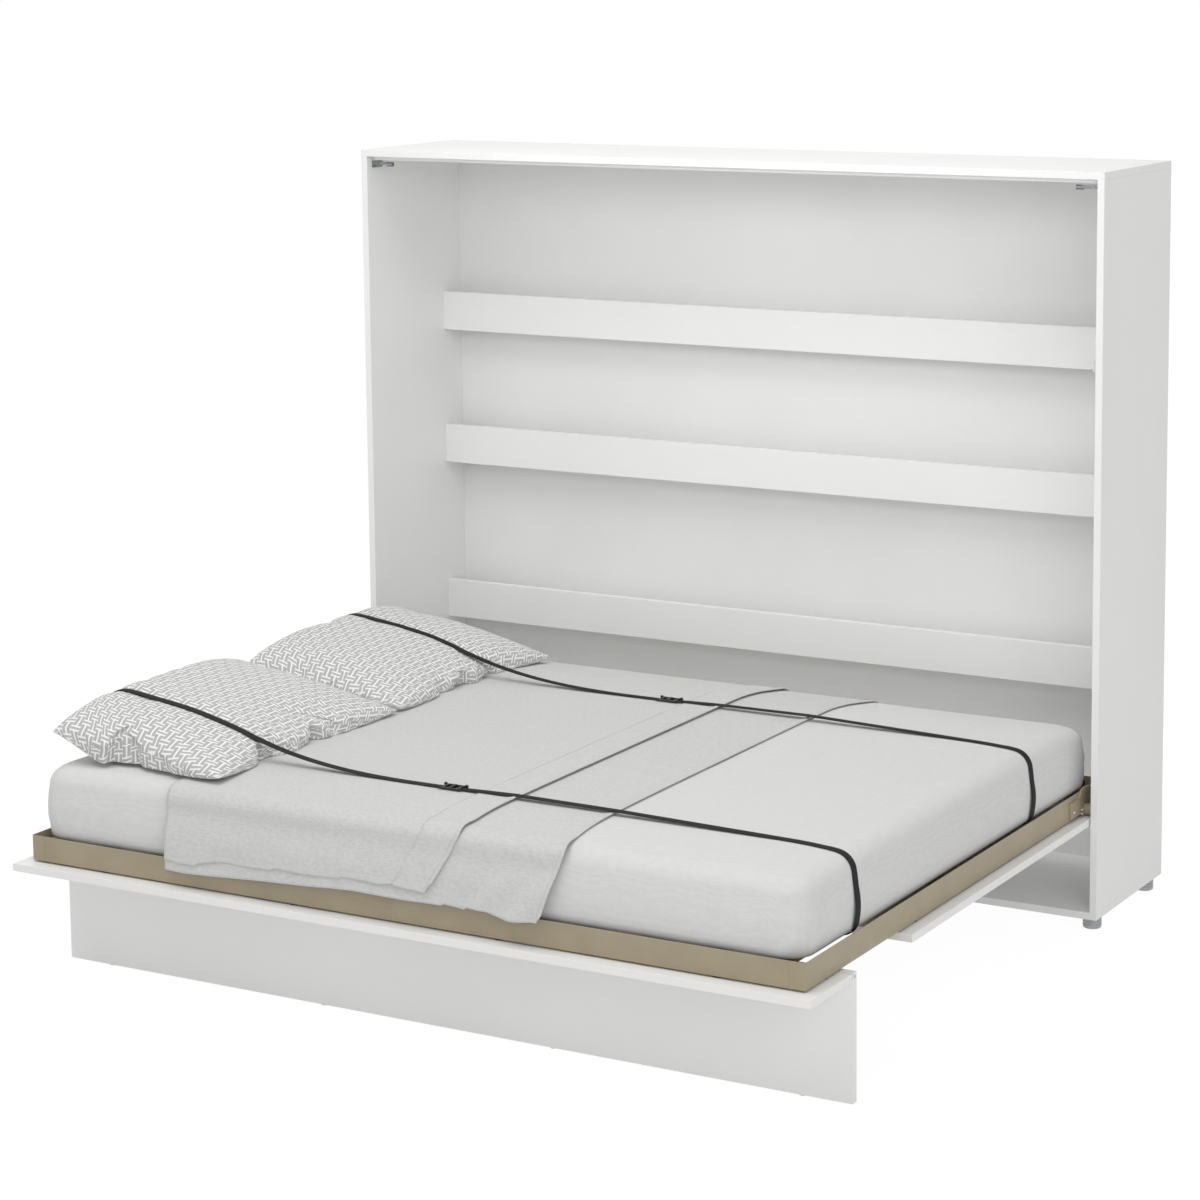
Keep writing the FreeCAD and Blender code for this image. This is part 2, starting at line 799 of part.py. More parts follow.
def make_slats():
    """Two rows of slats and the caps they sit in."""
    front0 = frame_front + rail_wall + 1.0
    back1 = frame_back - rail_wall - 1.0
    beam_half = beam_width / 2
    rows = {
        "slats_front": (front0, beam_y - beam_half, beam_y - 0.5),
        "slats_rear": (back1, beam_y + beam_half, beam_y + 0.5),
    }
    caps = []
    for name, (outer, beam_edge, beam_mid) in rows.items():
        out = 1 if outer < beam_y else -1
        outer_cap = sorted((outer, outer + out * holder_depth))
        beam_cap = sorted((beam_edge, beam_mid))
        ends = sorted((outer + out * (holder_wall + 0.5), beam_mid - out * (holder_wall + 0.5)))
        save(name, [slat(x, ends[0], ends[1]) for x in slat_rows()])
        for x in slat_rows():
            caps.append(holder(x, outer_cap[0], outer_cap[1], out > 0))
            caps.append(holder(x, beam_cap[0], beam_cap[1], out < 0))
    save("slat_holders", caps)


def make_frame():
    """Steel rails, corners, middle beam, plates and spacers."""
    holes = panel_screw_holes()
    bolts = [screw_hole(p, -X) for p in bed_plate_bolts()]
    bolts += [screw_hole(p, X) for p in leg_bracket_screws()]
    bolts += [mirrored(b) for b in bolts]
    long_run = frame_length - 2 * corner_leg
    short_run = frame_width - 2 * corner_leg
    z = frame_bottom
    lines = {
        "frame_rail_left": (short_run, Vector(-half_frame, frame_front + corner_leg, z), 0),
        "frame_rail_right": (short_run, Vector(half_frame, frame_back - corner_leg, z), 180),
        "frame_rail_front": (long_run, Vector(half_frame - corner_leg, frame_front, z), 90),
        "frame_rail_rear": (long_run, Vector(-half_frame + corner_leg, frame_back, z), 270),
    }
    for name, (length, corner, degrees) in lines.items():
        save(name, cut(rail(length, corner, degrees), holes + bolts))
    corners = [
        corner_piece(Vector(-half_frame, frame_front, z), 0),
        corner_piece(Vector(half_frame, frame_front, z), 90),
        corner_piece(Vector(half_frame, frame_back, z), 180),
        corner_piece(Vector(-half_frame, frame_back, z), 270),
    ]
    save("frame_corners", [cut(c, bolts) for c in corners])

    beam_half = beam_width / 2
    reach = half_frame - rail_width
    outer = slab(-reach, reach, beam_y - beam_half, beam_y + beam_half, z, tube_top)
    inside = beam_half - rail_wall
    hollow = slab(
        -reach - 1, reach + 1, beam_y - inside, beam_y + inside, z + rail_wall, tube_top - rail_wall
    )
    save("middle_beam", cut(outer.cut(hollow), holes))

    radius = spacer_diameter / 2
    spacers = [rod(Vector(x, y, panel_top), Z, radius, spacer_height) for x, y in spacer_places()]
    save("panel_spacers", [s.cut(holes) for s in spacers])
    save("panel_screws", [panel_screw(x, y) for x, y in spacer_places()])

    save("pivot_plate_right", bed_plate_right())
    save("pivot_plate_left", mirrored(bed_plate_right()))
    save("leg_brackets", both_sides(leg_bracket_right()))
    save("bed_pins", both_sides(leg_pin_right()) + both_sides(bed_strut_stud_right()))
    bolts = [screw(p, -X) for p in bed_plate_bolts()] + [screw(p, X) for p in leg_bracket_screws()]
    save("frame_bolts", [s for one in bolts for s in both_sides(one)])


# ---------------------------------------------------------------- front panels and leg flap
def make_panels():
    """The closed cabinet's front: head strip, leg flap and main panel."""
    holes = panel_screw_holes()
    strip = slab(-half_panel, half_panel, panels_front, strip_back, panel_bottom, panel_top, eased_edge)
    save("front_strip", cut(strip, holes))
    main = slab(-half_panel, half_panel, main_front, main_back, panel_bottom, panel_top, eased_edge)
    save("front_panel", cut(main, holes))

    flap = slab(
        -half_panel, half_panel, leg_edge, leg_edge + board, leg_glide, leg_glide + leg_length, eased_edge
    )
    slot = slab(
        leg_bracket_x - leg_slot_width / 2, leg_bracket_x + leg_slot_width / 2,
        leg_edge - 1, leg_edge + board + 1,
        leg_pivot_z - leg_tab_radius - 1.5, panel_top + 1,
    )
    start = leg_bracket_x - leg_pin_length / 2 - 1.0
    bore_radius = leg_pin_diameter / 2 + running_clearance
    bore = rod(Vector(start, leg_pivot_y, leg_pivot_z), X, bore_radius, half_panel - start + 1)
    save("leg_flap", cut(flap, both_sides(slot) + both_sides(bore)))

    reach = half_panel - leg_glide_inset
    pads = [
        rod(Vector(x, leg_pivot_y, 0), Z, min(leg_glide_diameter, board - 2) / 2, leg_glide)
        for x in spaced(-reach, reach, 4)
    ]
    save("leg_glides", pads)


# ---------------------------------------------------------------- gas struts
def strut_length():
    """Distance between the strut's two studs with the bed down."""
    (y0, z0), (y1, z1) = strut_top, strut_foot
    return math.hypot(y1 - y0, z1 - z0)


def along_strut(local):
    """Turns a piece built along +Z from the origin onto the strut's line, from its upper stud."""
    (y0, z0), (y1, z1) = strut_top, strut_foot
    solid = local.copy()
    solid.rotate(Vector(0, 0, 0), X, -math.degrees(math.atan2(y1 - y0, z1 - z0)))
    solid.translate(Vector(strut_x, y0, z0))
    return solid


def strut_eye(z):
    """Ring on an X-wise stud, centred z along the strut."""
    half = strut_eye_width / 2
    ring = rod(Vector(-half, 0, z), X, strut_eye_diameter / 2, strut_eye_width)
    radius = strut_pin_diameter / 2 + running_clearance
    return ring, rod(Vector(-half - 1, 0, z), X, radius, strut_eye_width + 2)


def strut_cylinder_right():
    """Pressure tube with its eye; the rod runs in its open gland."""
    length = strut_length()
    start = strut_eye_reach
    end = length - strut_eye_reach - 3.0
    radius = strut_body_diameter / 2
    tube = rod(Vector(0, 0, start), Z, radius, end - start)
    inside = rod(
        Vector(0, 0, start + strut_stop), Z, radius - strut_body_wall,
        end - start - strut_stop - strut_gland,
    )
    gland_radius = strut_rod_diameter / 2 + strut_rod_clearance
    gland = rod(Vector(0, 0, end - strut_gland - 1), Z, gland_radius, strut_gland + 2)
    ring, bore = strut_eye(0)
    neck = rod(Vector(0, 0, strut_eye_diameter / 2 - 3.0), Z, 6.0, start - strut_eye_diameter / 2 + 4.0)
    body = joined([ring, neck, tube])
    return along_strut(cut(body, [inside, gland, bore]))


def strut_rod_right():
    """Piston rod with its eye on the bed's stud."""
    length = strut_length()
    inner_end = strut_eye_reach + strut_stop + 2.0
    shank = rod(
        Vector(0, 0, inner_end), Z, strut_rod_diameter / 2, length - inner_end - strut_eye_diameter / 2 + 3.0
    )
    piston_radius = strut_body_diameter / 2 - strut_body_wall - strut_rod_clearance
    piston = rod(Vector(0, 0, inner_end), Z, piston_radius, 8.0)
    ring, bore = strut_eye(length)
    return along_strut(cut(joined([ring, shank, piston]), [bore]))


def make_struts():
    """Left and right gas struts, each of two sliding halves."""
    save("strut_cylinder_right", strut_cylinder_right())
    save("strut_cylinder_left", mirrored(strut_cylinder_right()))
    save("strut_rod_right", strut_rod_right())
    save("strut_rod_left", mirrored(strut_rod_right()))


# ---------------------------------------------------------------- mattress and bedding
def mattress_edge():
    """Edge profile of the mattress as (inset, height) pairs, from its underside to its crown."""
    steps = 5
    low = mattress_bottom
    shoulder = mattress_top - mattress_crown - mattress_edge_radius
    profile = [(mattress_side_bulge + 14.0, low), (mattress_side_bulge, low + 12.0)]
    profile += [(0.0, (low + shoulder) / 2)]
    for i in range(steps + 1):
        a = math.radians(90.0 * i / steps)
        profile.append(
            (mattress_side_bulge + mattress_edge_radius * (1 - math.cos(a)),
             shoulder + mattress_edge_radius * math.sin(a))
        )
    start = profile[-1][0]
    for share in (0.3, 0.65, 1.0):
        inset = start + (mattress_crown_reach - start) * share
        profile.append((inset, mattress_top - mattress_crown * (1 - share) ** 2))
    return profile


def rounded_rectangle(x0, x1, y0, y1, radius, z):
    """A flat rounded outline of lines and quarter arcs."""
    r = radius
    k = r * (1 - math.sqrt(0.5))
    p = [
        Vector(x0 + r, y0, z), Vector(x1 - r, y0, z), Vector(x1 - k, y0 + k, z), Vector(x1, y0 + r, z),
        Vector(x1, y1 - r, z), Vector(x1 - k, y1 - k, z), Vector(x1 - r, y1, z), Vector(x0 + r, y1, z),
        Vector(x0 + k, y1 - k, z), Vector(x0, y1 - r, z), Vector(x0, y0 + r, z), Vector(x0 + k, y0 + k, z),
    ]
    edges = []
    for i in range(0, 12, 3):
        edges.append(Part.makeLine(p[i], p[i + 1]))
        edges.append(Part.Arc(p[i + 1], p[i + 2], p[(i + 3) % 12]).toShape())
    return Part.Wire(edges)


def mattress():
    """Crowned mattress with drawn-in lower and upper edges."""
    rings = []
    for inset, z in mattress_edge():
        rings.append(
            rounded_rectangle(
                -half_mattress + inset, half_mattress - inset,
                mattress_front + inset, mattress_back - inset,
                max(mattress_corner - inset * 0.2, 12.0), z,
            )
        )
    return Part.makeLoft(rings, True, True)


def sheet_path(lift, sag, hem):
    """Line of the top sheet across the bed as (y, z) pairs, from its rear edge to its front hem.

    lift is the height above the mattress, sag how far the front hem swings out, hem its height."""
    upper = [(i, z) for i, z in mattress_edge() if z > mattress_top - mattress_crown - mattress_edge_radius]
    step = lift * math.sqrt(0.5)
    rear = [(mattress_back - i + (step if i < 40 else 0.0), z + lift) for i, z in upper]
    front = [(mattress_front + i - (step if i < 40 else 0.0), z + lift) for i, z in reversed(upper)]
    tail_y = mattress_back + lift
    tail = [(tail_y, mattress_top - sheet_rear_drop), (tail_y, rear[0][1] - 10.0)]
    knee = frame_front - lift - 0.5
    hang = [
        (mattress_front - lift - 1.0, front[-1][1] - 12.0),
        (knee - 0.4 * sag, frame_top + sheet_knee_rise),
        (knee - sag, hem),
    ]
    return tail + rear + front + hang


def sheet_section(x, lift, sag, hem):
    """Closed outline of the sheet at x."""
    inner = [Vector(x, y, z) for y, z in sheet_path(lift, sag, hem)]
    outer = [Vector(x, y, z) for y, z in sheet_path(lift + sheet_thickness, sag, hem)]
    loop = inner + outer[::-1]
    return Part.makePolygon(loop + loop[:1])


def sheet_layer(lift, hem, folds):
    """A layer of the sheet whose hanging front has this many soft folds."""
    stations = spaced(sheet_left, sheet_right, 4 * folds + 1)
    sections = []
    for i, x in enumerate(stations):
        sag = 4.0 * (1 - math.cos(math.pi * i / 2)) * (0.4 + 0.6 * i / (4 * folds))
        sections.append(sheet_section(x, lift, sag, hem))
    return Part.makeLoft(sections, True, True)


def drape_trim(top_x, hem_x, hem):
    """Wedge that takes a side edge back to hem_x on its way from the mattress's shoulder to the hem."""
    shoulder = mattress_top - mattress_crown - mattress_edge_radius
    front, back = panels_front - 100.0, mattress_front + mattress_side_bulge
    corners = [(top_x + 1.0, shoulder), (top_x, shoulder), (hem_x, hem), (hem_x, hem - 20.0),
               (top_x + 1.0, hem - 20.0)]
    face = Part.Face(Part.makePolygon([Vector(x, front, z) for x, z in corners + corners[:1]]))
    return face.extrude(Y * (back - front))


def make_top_sheet():
    """Top sheet, folded double at its left edge: the lower layer and the shorter one over it."""
    hem = frame_top - sheet_hem_overlap
    lower = sheet_layer(rest_gap, hem, 3)
    save("top_sheet", lower.cut(drape_trim(sheet_right, sheet_right_at_hem, hem)))
    fold_hem = frame_top + sheet_fold_hem_rise
    upper = sheet_layer(2 * rest_gap + sheet_thickness, fold_hem, 3)
    beyond = slab(
        sheet_fold_right, sheet_right + 10.0, panels_front - 100.0, mattress_back + 100.0,
        frame_bottom, mattress_top + 100.0,
    )
    save("top_sheet_fold", upper.cut([beyond, drape_trim(sheet_fold_right, sheet_fold_at_hem, fold_hem)]))


bedding_top = mattress_top + 2 * (sheet_thickness + rest_gap) + 2 * rest_gap


def crest_arc(crest, end):
    """Arc that is level at crest and falls to end, both in one X-Z plane."""
    run, fall = end.x - crest.x, crest.z - end.z
    radius = (run * run + fall * fall) / (2 * fall)
    half = math.atan2(fall, abs(run))
    side = 1 if run > 0 else -1
    middle = crest + Vector(side * radius * math.sin(half), 0, -radius * (1 - math.cos(half)))
    return Part.Arc(end, middle, crest).toShape()


def pillow_section(y, share, z0, x0, x1):
    """Cross-section of a pillow at y; share is how full it is there, from 0 at a tip to 1."""
    seam = z0 + pillow_seam_base + pillow_head_seam * share
    rise = 1.0 + (pillow_height - pillow_seam_base - pillow_head_seam) * share
    crest = Vector(x0 + (x1 - x0) * pillow_crown_share, y, seam + rise)
    left, right = Vector(x0, y, seam), Vector(x1, y, z0 + 7.0)
    foot_right = Vector(x1 - 30.0, y, z0)
    foot_left = Vector(x0 + 40.0 + 60.0 * share, y, z0)
    turn = Vector(x0 + 10.0 + 12.0 * share, y, z0 + (seam - z0) * 0.42)
    edges = [
        crest_arc(crest, left), crest_arc(crest, right), Part.makeLine(right, foot_right),
        Part.makeLine(foot_right, foot_left), Part.Arc(foot_left, turn, left).toShape(),
    ]
    return Part.Wire(edges)


def pillow(y0, z0):
    """A plump pillow whose front end is at y0: pointed corners, sides drawn in between them."""
    fullness = [0.04, 0.55, 0.88, 1.0, 0.97, 0.86, 0.5, 0.04]
    places = [0.0, 0.09, 0.24, 0.42, 0.6, 0.78, 0.92, 1.0]
    x0 = -half_mattress + pillow_head_inset
    sections = []
    for share, place in zip(fullness, places):
        draw_in = 16.0 * math.sin(math.pi * place)
        sections.append(
            pillow_section(y0 + place * pillow_length, share, z0, x0 + draw_in, x0 + pillow_width - draw_in)
        )
    return Part.makeLoft(sections, True, False)


def offset_run(route, shift):
    """Edges of a route of (x, z, bend radius) points, moved sideways: runs joined by tangent arcs."""
    edges = []
    points = [Vector(x, 0, z) for x, z, _ in route]
    here = points[0] + normal(points[0], points[1]) * shift
    for i in range(1, len(route) - 1):
        before = (points[i] - points[i - 1]).normalize()
        after = (points[i + 1] - points[i]).normalize()
        turn = before.getAngle(after)
        radius = route[i][2]
        reach = radius * math.tan(turn / 2)
        side = 1 if before.cross(after).y < 0 else -1
        start = points[i] - before * reach
        centre = start + normal(points[i - 1], points[i]) * (side * radius)
        arc_radius = radius - side * shift
        first = start + normal(points[i - 1], points[i]) * shift
        last = points[i] + after * reach + normal(points[i], points[i + 1]) * shift
        middle = centre + (points[i] - centre).normalize() * arc_radius
        edges.append(Part.makeLine(here, first))
        edges.append(Part.Arc(first, middle, last).toShape())
        here = last
    edges.append(Part.makeLine(here, points[-1] + normal(points[-2], points[-1]) * shift))
    return edges


def normal(a, b):
    """Unit vector to the left of the run from a to b, in the X-Z plane."""
    run = (b - a).normalize()
    return Vector(-run.z, 0, run.x)


def ribbon(route, y):
    """A flat strap that lies on a route of (x, z, bend radius) points and is centred on y."""
    low, high = offset_run(route, 0.0), offset_run(route, strap_thickness)
    first = Part.makeLine(low[0].Vertexes[0].Point, high[0].Vertexes[0].Point)
    last = Part.makeLine(low[-1].Vertexes[-1].Point, high[-1].Vertexes[-1].Point)
    wire = Part.Wire(Part.__sortEdges__(low + high + [first, last]))
    strap = Part.Face(wire).extrude(Y * strap_width)
    strap.translate(Vector(0, y - strap_width / 2, 0))
    return strap


strap_lie = bedding_top + 2.0
strap_bare = mattress_top + 1.0


def strap_head(y, buckle_x, crown):
    """Strap from the head end over a pillow to the buckle; crown is the pillow's top."""
    side = half_mattress + 1.0
    seam = bedding_top + pillow_seam_base + pillow_head_seam
    crest_x = -half_mattress + pillow_head_inset + pillow_width * pillow_crown_share
    route = [
        (-side, mattress_top, 0.0), (-side, seam + 6.0, 24.0), (crest_x - 78.0, crown + 2.0, 170.0),
        (crest_x + 92.0, crown + 2.0, 300.0), (crest_x + 290.0, strap_lie + 66.0, 700.0),
        (-330.0, strap_lie + 13.0, 500.0), (-130.0, strap_lie, 900.0), (buckle_x - 8.0, strap_lie, 0.0),
    ]
    return ribbon(route, y)


def strap_foot_piece(y, buckle_x):
    """Strap from the buckle over the mattress's foot end, down inside the frame's lip."""
    side = half_mattress
    route = [
        (buckle_x + 8.0, strap_lie, 0.0), (sheet_right - 40.0, strap_lie, 500.0),
        (sheet_right + 120.0, strap_bare, 500.0), (side - 250.0, strap_bare, 900.0),
        (side - 100.0, strap_bare - 4.0, 400.0), (side - 24.0, strap_bare - 9.0, 26.0),
        (side + 3.0, strap_bare - 38.0, 30.0), (side + 2.4, tube_top + rest_gap, 0.0),
    ]
    return ribbon(route, y)


def strap_head_end(y):
    """Upright end of a strap between the mattress's head and the frame's lip."""
    x1 = -half_mattress - 1.0
    return slab(
        x1 - strap_thickness, x1, y - strap_width / 2, y + strap_width / 2,
        tube_top + rest_gap, mattress_top - 1.0,
    )


def strap_anchor(side, y):
    """Small plate that holds a strap's end to the inside of the frame's lip."""
    lip = half_frame - rail_wall
    x0, x1 = sorted((side * (half_mattress + 4.9), side * lip))
    return slab(x0, x1, y - 16.0, y + 16.0, tube_top + rest_gap, frame_top - 3.0)


def buckle(y, buckle_x):
    """Sliding buckle: a frame with a middle bar."""
    z0 = bedding_top + 1.0
    half_x, half_y = buckle_length / 2, buckle_width / 2
    body = slab(buckle_x - half_x, buckle_x + half_x, y - half_y, y + half_y, z0, z0 + buckle_height)
    body = body.makeFillet(2.0, [e for e in body.Edges if abs(e.Vertexes[0].Z - e.Vertexes[-1].Z) > 1])
    inner_y = strap_width / 2 + 0.6
    tunnel = slab(
        buckle_x - half_x - 1, buckle_x + half_x + 1, y - inner_y, y + inner_y, z0 + 0.5, z0 + 5.0
    )
    half_window = buckle_length / 2 - 8.0
    window = slab(
        buckle_x - half_window, buckle_x + half_window, y - inner_y, y + inner_y,
        z0 + 4.0, z0 + buckle_height + 1.0,
    )
    bar = slab(buckle_x - 3.0, buckle_x + 3.0, y - half_y + 1, y + half_y - 1, z0 + 5.2, z0 + 7.5)
    return joined([cut(body, [tunnel, window]), bar])


def make_bedding():
    """Mattress, top sheet, pillows and the two straps that hold the bedding."""
    save("mattress", mattress())
    make_top_sheet()
    front_y = mattress_front + front_pillow_inset
    save("pillow_front", pillow(front_y, bedding_top))
    save("pillow_rear", pillow(front_y + pillow_length + pillow_gap, bedding_top))
    lines = {
        "front": (mattress_front + front_strap_inset, front_buckle_x),
        "rear": (mattress_back - rear_strap_inset, rear_buckle_x),
    }
    crown = bedding_top + 1.0 + pillow_height
    for name, (y, x) in lines.items():
        save("strap_head_" + name, strap_head(y, x, crown))
        save("strap_foot_" + name, strap_foot_piece(y, x))
    save("strap_head_ends", [strap_head_end(y) for y, _ in lines.values()])
    save("strap_anchors", [strap_anchor(s, y) for y, _ in lines.values() for s in (-1, 1)])
    save("strap_buckles", [buckle(y, x) for y, x in lines.values()])


os.makedirs("parts", exist_ok=True)
make_cabinet()
make_frame()
make_slats()
make_panels()
make_struts()
make_bedding()
print("overall", cabinet_width, total_depth, cabinet_height)
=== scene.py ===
"""Finishes and soft goods of a horizontal cabinet bed, dressed on its frame.

Every length is in metres, in the frame's own axes: X along the cabinet, Y from the foot of the
opened bed to the wall, Z up.
"""

import json
import logging
import math
from dataclasses import dataclass, field
from enum import Enum

import bmesh
import bpy
import numpy as np
from mathutils import Matrix, Vector, noise
from mathutils.bvhtree import BVHTree

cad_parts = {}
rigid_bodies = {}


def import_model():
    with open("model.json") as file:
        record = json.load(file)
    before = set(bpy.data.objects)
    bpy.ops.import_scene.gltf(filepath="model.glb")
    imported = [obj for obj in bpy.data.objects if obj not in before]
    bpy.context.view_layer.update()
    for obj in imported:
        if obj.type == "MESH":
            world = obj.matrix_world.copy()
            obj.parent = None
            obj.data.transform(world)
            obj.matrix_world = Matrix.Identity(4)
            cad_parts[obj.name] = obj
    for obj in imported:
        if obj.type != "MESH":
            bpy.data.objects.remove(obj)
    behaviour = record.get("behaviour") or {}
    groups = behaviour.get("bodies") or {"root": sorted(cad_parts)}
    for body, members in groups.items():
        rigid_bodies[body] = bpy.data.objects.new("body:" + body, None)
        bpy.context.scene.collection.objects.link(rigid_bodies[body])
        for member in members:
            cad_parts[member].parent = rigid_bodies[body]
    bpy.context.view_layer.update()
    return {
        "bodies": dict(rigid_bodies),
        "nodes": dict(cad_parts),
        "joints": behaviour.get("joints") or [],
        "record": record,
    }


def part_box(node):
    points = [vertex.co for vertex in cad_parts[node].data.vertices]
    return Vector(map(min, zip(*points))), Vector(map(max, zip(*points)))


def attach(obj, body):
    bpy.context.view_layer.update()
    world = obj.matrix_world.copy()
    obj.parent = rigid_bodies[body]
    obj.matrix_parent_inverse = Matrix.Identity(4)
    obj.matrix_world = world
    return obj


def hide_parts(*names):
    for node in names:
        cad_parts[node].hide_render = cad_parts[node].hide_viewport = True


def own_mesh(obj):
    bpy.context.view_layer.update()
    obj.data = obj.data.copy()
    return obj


LOG = logging.getLogger("cabinet_bed")
MM = 0.001
WHITE = (1, 1, 1, 1)

Tree = bpy.types.NodeTree
Node = bpy.types.Node
Socket = bpy.types.NodeSocket
Piece = bpy.types.Object


# ------------------------------------------------------------------ names shared by the classes
class Body(Enum):
    """Bodies of the frame that pieces ride on."""

    CABINET = "cabinet"
    BED = "bed"


class Slot(Enum):
    """Material slots of the record."""

    BOARD = "white_board"
    HARDBOARD = "white_hardboard"
    WHITE_PLASTIC = "white_plastic"
    FOOT_PLASTIC = "foot_plastic"
    BEECH = "beech"
    ZINC = "zinc_steel"
    BRIGHT = "bright_steel"
    BEIGE = "beige_steel"
    BLACK_PLASTIC = "black_plastic"
    STRUT_BLACK = "strut_black"
    STRUT_ROD = "strut_chrome"
    MATTRESS = "mattress_cover"
    SHEET = "sheet_linen"
    PILLOW = "pillow_weave"
    WEBBING = "black_webbing"


class Side(Enum):
    """Front is the foot of the opened bed, rear is the wall side."""

    FRONT = "front"
    REAR = "rear"


# ------------------------------------------------------------------ nodes
def linear(hex_colour: str) -> tuple[float, float, float, float]:
    """Turn an sRGB hex colour into Blender's linear RGBA.

    Args:
        hex_colour: six hex digits with a leading #.

    Returns:
        Linear red, green, blue and an alpha of 1.
    """
    parts = [int(hex_colour[i:i + 2], 16) / 255 for i in (1, 3, 5)]
    red, green, blue = (c / 12.92 if c <= 0.04045 else ((c + 0.055) / 1.055) ** 2.4 for c in parts)
    return (red, green, blue, 1.0)


def feed(node: Node, inputs: dict) -> Node:
    """Give a node's inputs their values and links.

    Args:
        node: the node.
        inputs: socket name or number to a value, or to the node or output socket that feeds it.

    Returns:
        The same node.
    """
    for key, value in inputs.items():
        source = value.outputs[0] if isinstance(value, Node) else value
        if isinstance(source, Socket):
            node.id_data.links.new(source, node.inputs[key])
        else:
            node.inputs[key].default_value = source
    return node


def add_node(tree: Tree, kind: str, inputs: dict | None = None, **settings) -> Node:
    """Add a node to a tree.

    Args:
        tree: tree that gets the node.
        kind: the node's Blender type.
        inputs: what its inputs get, as in feed.
        settings: properties of the node itself.

    Returns:
        The new node.
    """
    node = tree.nodes.new(kind)
    for key, value in settings.items():
        setattr(node, key, value)
    return feed(node, inputs or {})


def calc(tree: Tree, kind: str, *values: Node | Socket | float) -> Socket:
    """Result of a math node with up to three values."""
    return add_node(tree, "ShaderNodeMath", dict(enumerate(values)), operation=kind).outputs[0]


def remap(
    tree: Tree, value: Socket, low: float, high: float, to_low: float = 0.0, to_high: float = 1.0
) -> Socket:
    """A value whose range from low to high is laid over another range, and held at its ends."""
    return add_node(tree, "ShaderNodeMapRange", {0: value, 1: low, 2: high, 3: to_low, 4: to_high}).outputs[0]


def blend(
    tree: Tree, share: Socket | float, first: Socket | str, second: Socket | str, kind: str = "MIX"
) -> Socket:
    """Two colours mixed; each is a socket or an sRGB hex colour."""
    pair = [linear(c) if isinstance(c, str) else c for c in (first, second)]
    mixed = add_node(
        tree, "ShaderNodeMix", {0: share, 6: pair[0], 7: pair[1]}, data_type="RGBA", blend_type=kind
    )
    return mixed.outputs[2]


def cloud(
    tree: Tree, place: Socket, size: float, detail: float = 2.0, roughness: float = 0.5, swirl: float = 0.0
) -> Socket:
    """Noise from 0 to 1 whose patches are about size metres wide."""
    return add_node(
        tree, "ShaderNodeTexNoise",
        {"Vector": place, "Scale": 1 / size, "Detail": detail, "Roughness": roughness, "Distortion": swirl},
    ).outputs[0]


def stretched(tree: Tree, place: Socket, lengths: tuple[float, float, float]) -> Socket:
    """Coordinates divided by a length along each axis."""
    scale = tuple(1 / length for length in lengths)
    return add_node(tree, "ShaderNodeMapping", {"Vector": place, "Scale": scale}).outputs[0]


def relief(tree: Tree, height: Socket, depth: float, strength: float, below: Socket | None = None) -> Socket:
    """Normal of a surface raised by a height field.

    Args:
        tree: the material's tree.
        height: field from 0 to 1.
        depth: metres between 0 and 1.
        strength: share of the effect.
        below: normal of a coarser relief that this one lies on.

    Returns:
        The bent normal.
    """
    raised = add_node(tree, "ShaderNodeBump", {"Height": height, "Distance": depth, "Strength": strength})
    if below is not None:
        feed(raised, {"Normal": below})
    return raised.outputs[0]


def cleared_tree(owner: bpy.types.Material | bpy.types.World) -> Tree:
    """Switch the nodes of a material or world on and empty its tree."""
    owner.use_nodes = True
    owner.node_tree.nodes.clear()
    return owner.node_tree


def open_tree(name: str, inputs: dict[str, str]) -> tuple[Tree, Node]:
    """Start a Geometry Nodes tree that takes a shape, some values and a finish.

    Args:
        name: the tree's name.
        inputs: name of each value to its kind, such as Float.

    Returns:
        The tree and its input node.
    """
    tree = bpy.data.node_groups.new(name, "GeometryNodeTree")
    for label, kind in {"Geometry": "Geometry", **inputs, "Finish": "Material"}.items():
        tree.interface.new_socket(label, in_out="INPUT", socket_type="NodeSocket" + kind)
    tree.interface.new_socket("Geometry", in_out="OUTPUT", socket_type="NodeSocketGeometry")
    return tree, add_node(tree, "NodeGroupInput")


def close_tree(tree: Tree, given: Node, shape: Node) -> Tree:
    """Make a tree's instances real, paint them with its finish and put them out."""
    real = add_node(tree, "GeometryNodeRealizeInstances", {0: shape})
    painted = add_node(
        tree, "GeometryNodeSetMaterial", {"Geometry": real, "Material": given.outputs["Finish"]}
    )
    add_node(tree, "NodeGroupOutput", {"Geometry": painted})
    return tree


def run_tree(piece: Piece, tree: Tree, slot: Slot, values: dict) -> Piece:
    """Run a Geometry Nodes tree on a piece and keep its result as a plain mesh.

    Args:
        piece: object that carries the tree's input.
        tree: the node tree.
        slot: slot whose material is the tree's finish.
        values: input name to value.

    Returns:
        The same object with its new mesh.
    """
    modifier = piece.modifiers.new(tree.name, "NODES")
    modifier.node_group = tree
    sockets = {item.name: item.identifier for item in tree.interface.items_tree if item.in_out == "INPUT"}
    for name, value in {**values, "Finish": FINISHES[slot].material()}.items():
        modifier[sockets[name]] = value
    return baked(piece)


# ------------------------------------------------------------------ shapes
def smoothstep(low: float, high: float, value: np.ndarray | float) -> np.ndarray | float:
    """Ease from 0 at low to 1 at high."""
    t = np.clip((value - low) / (high - low), 0.0, 1.0)
    return t * t * (3 - 2 * t)


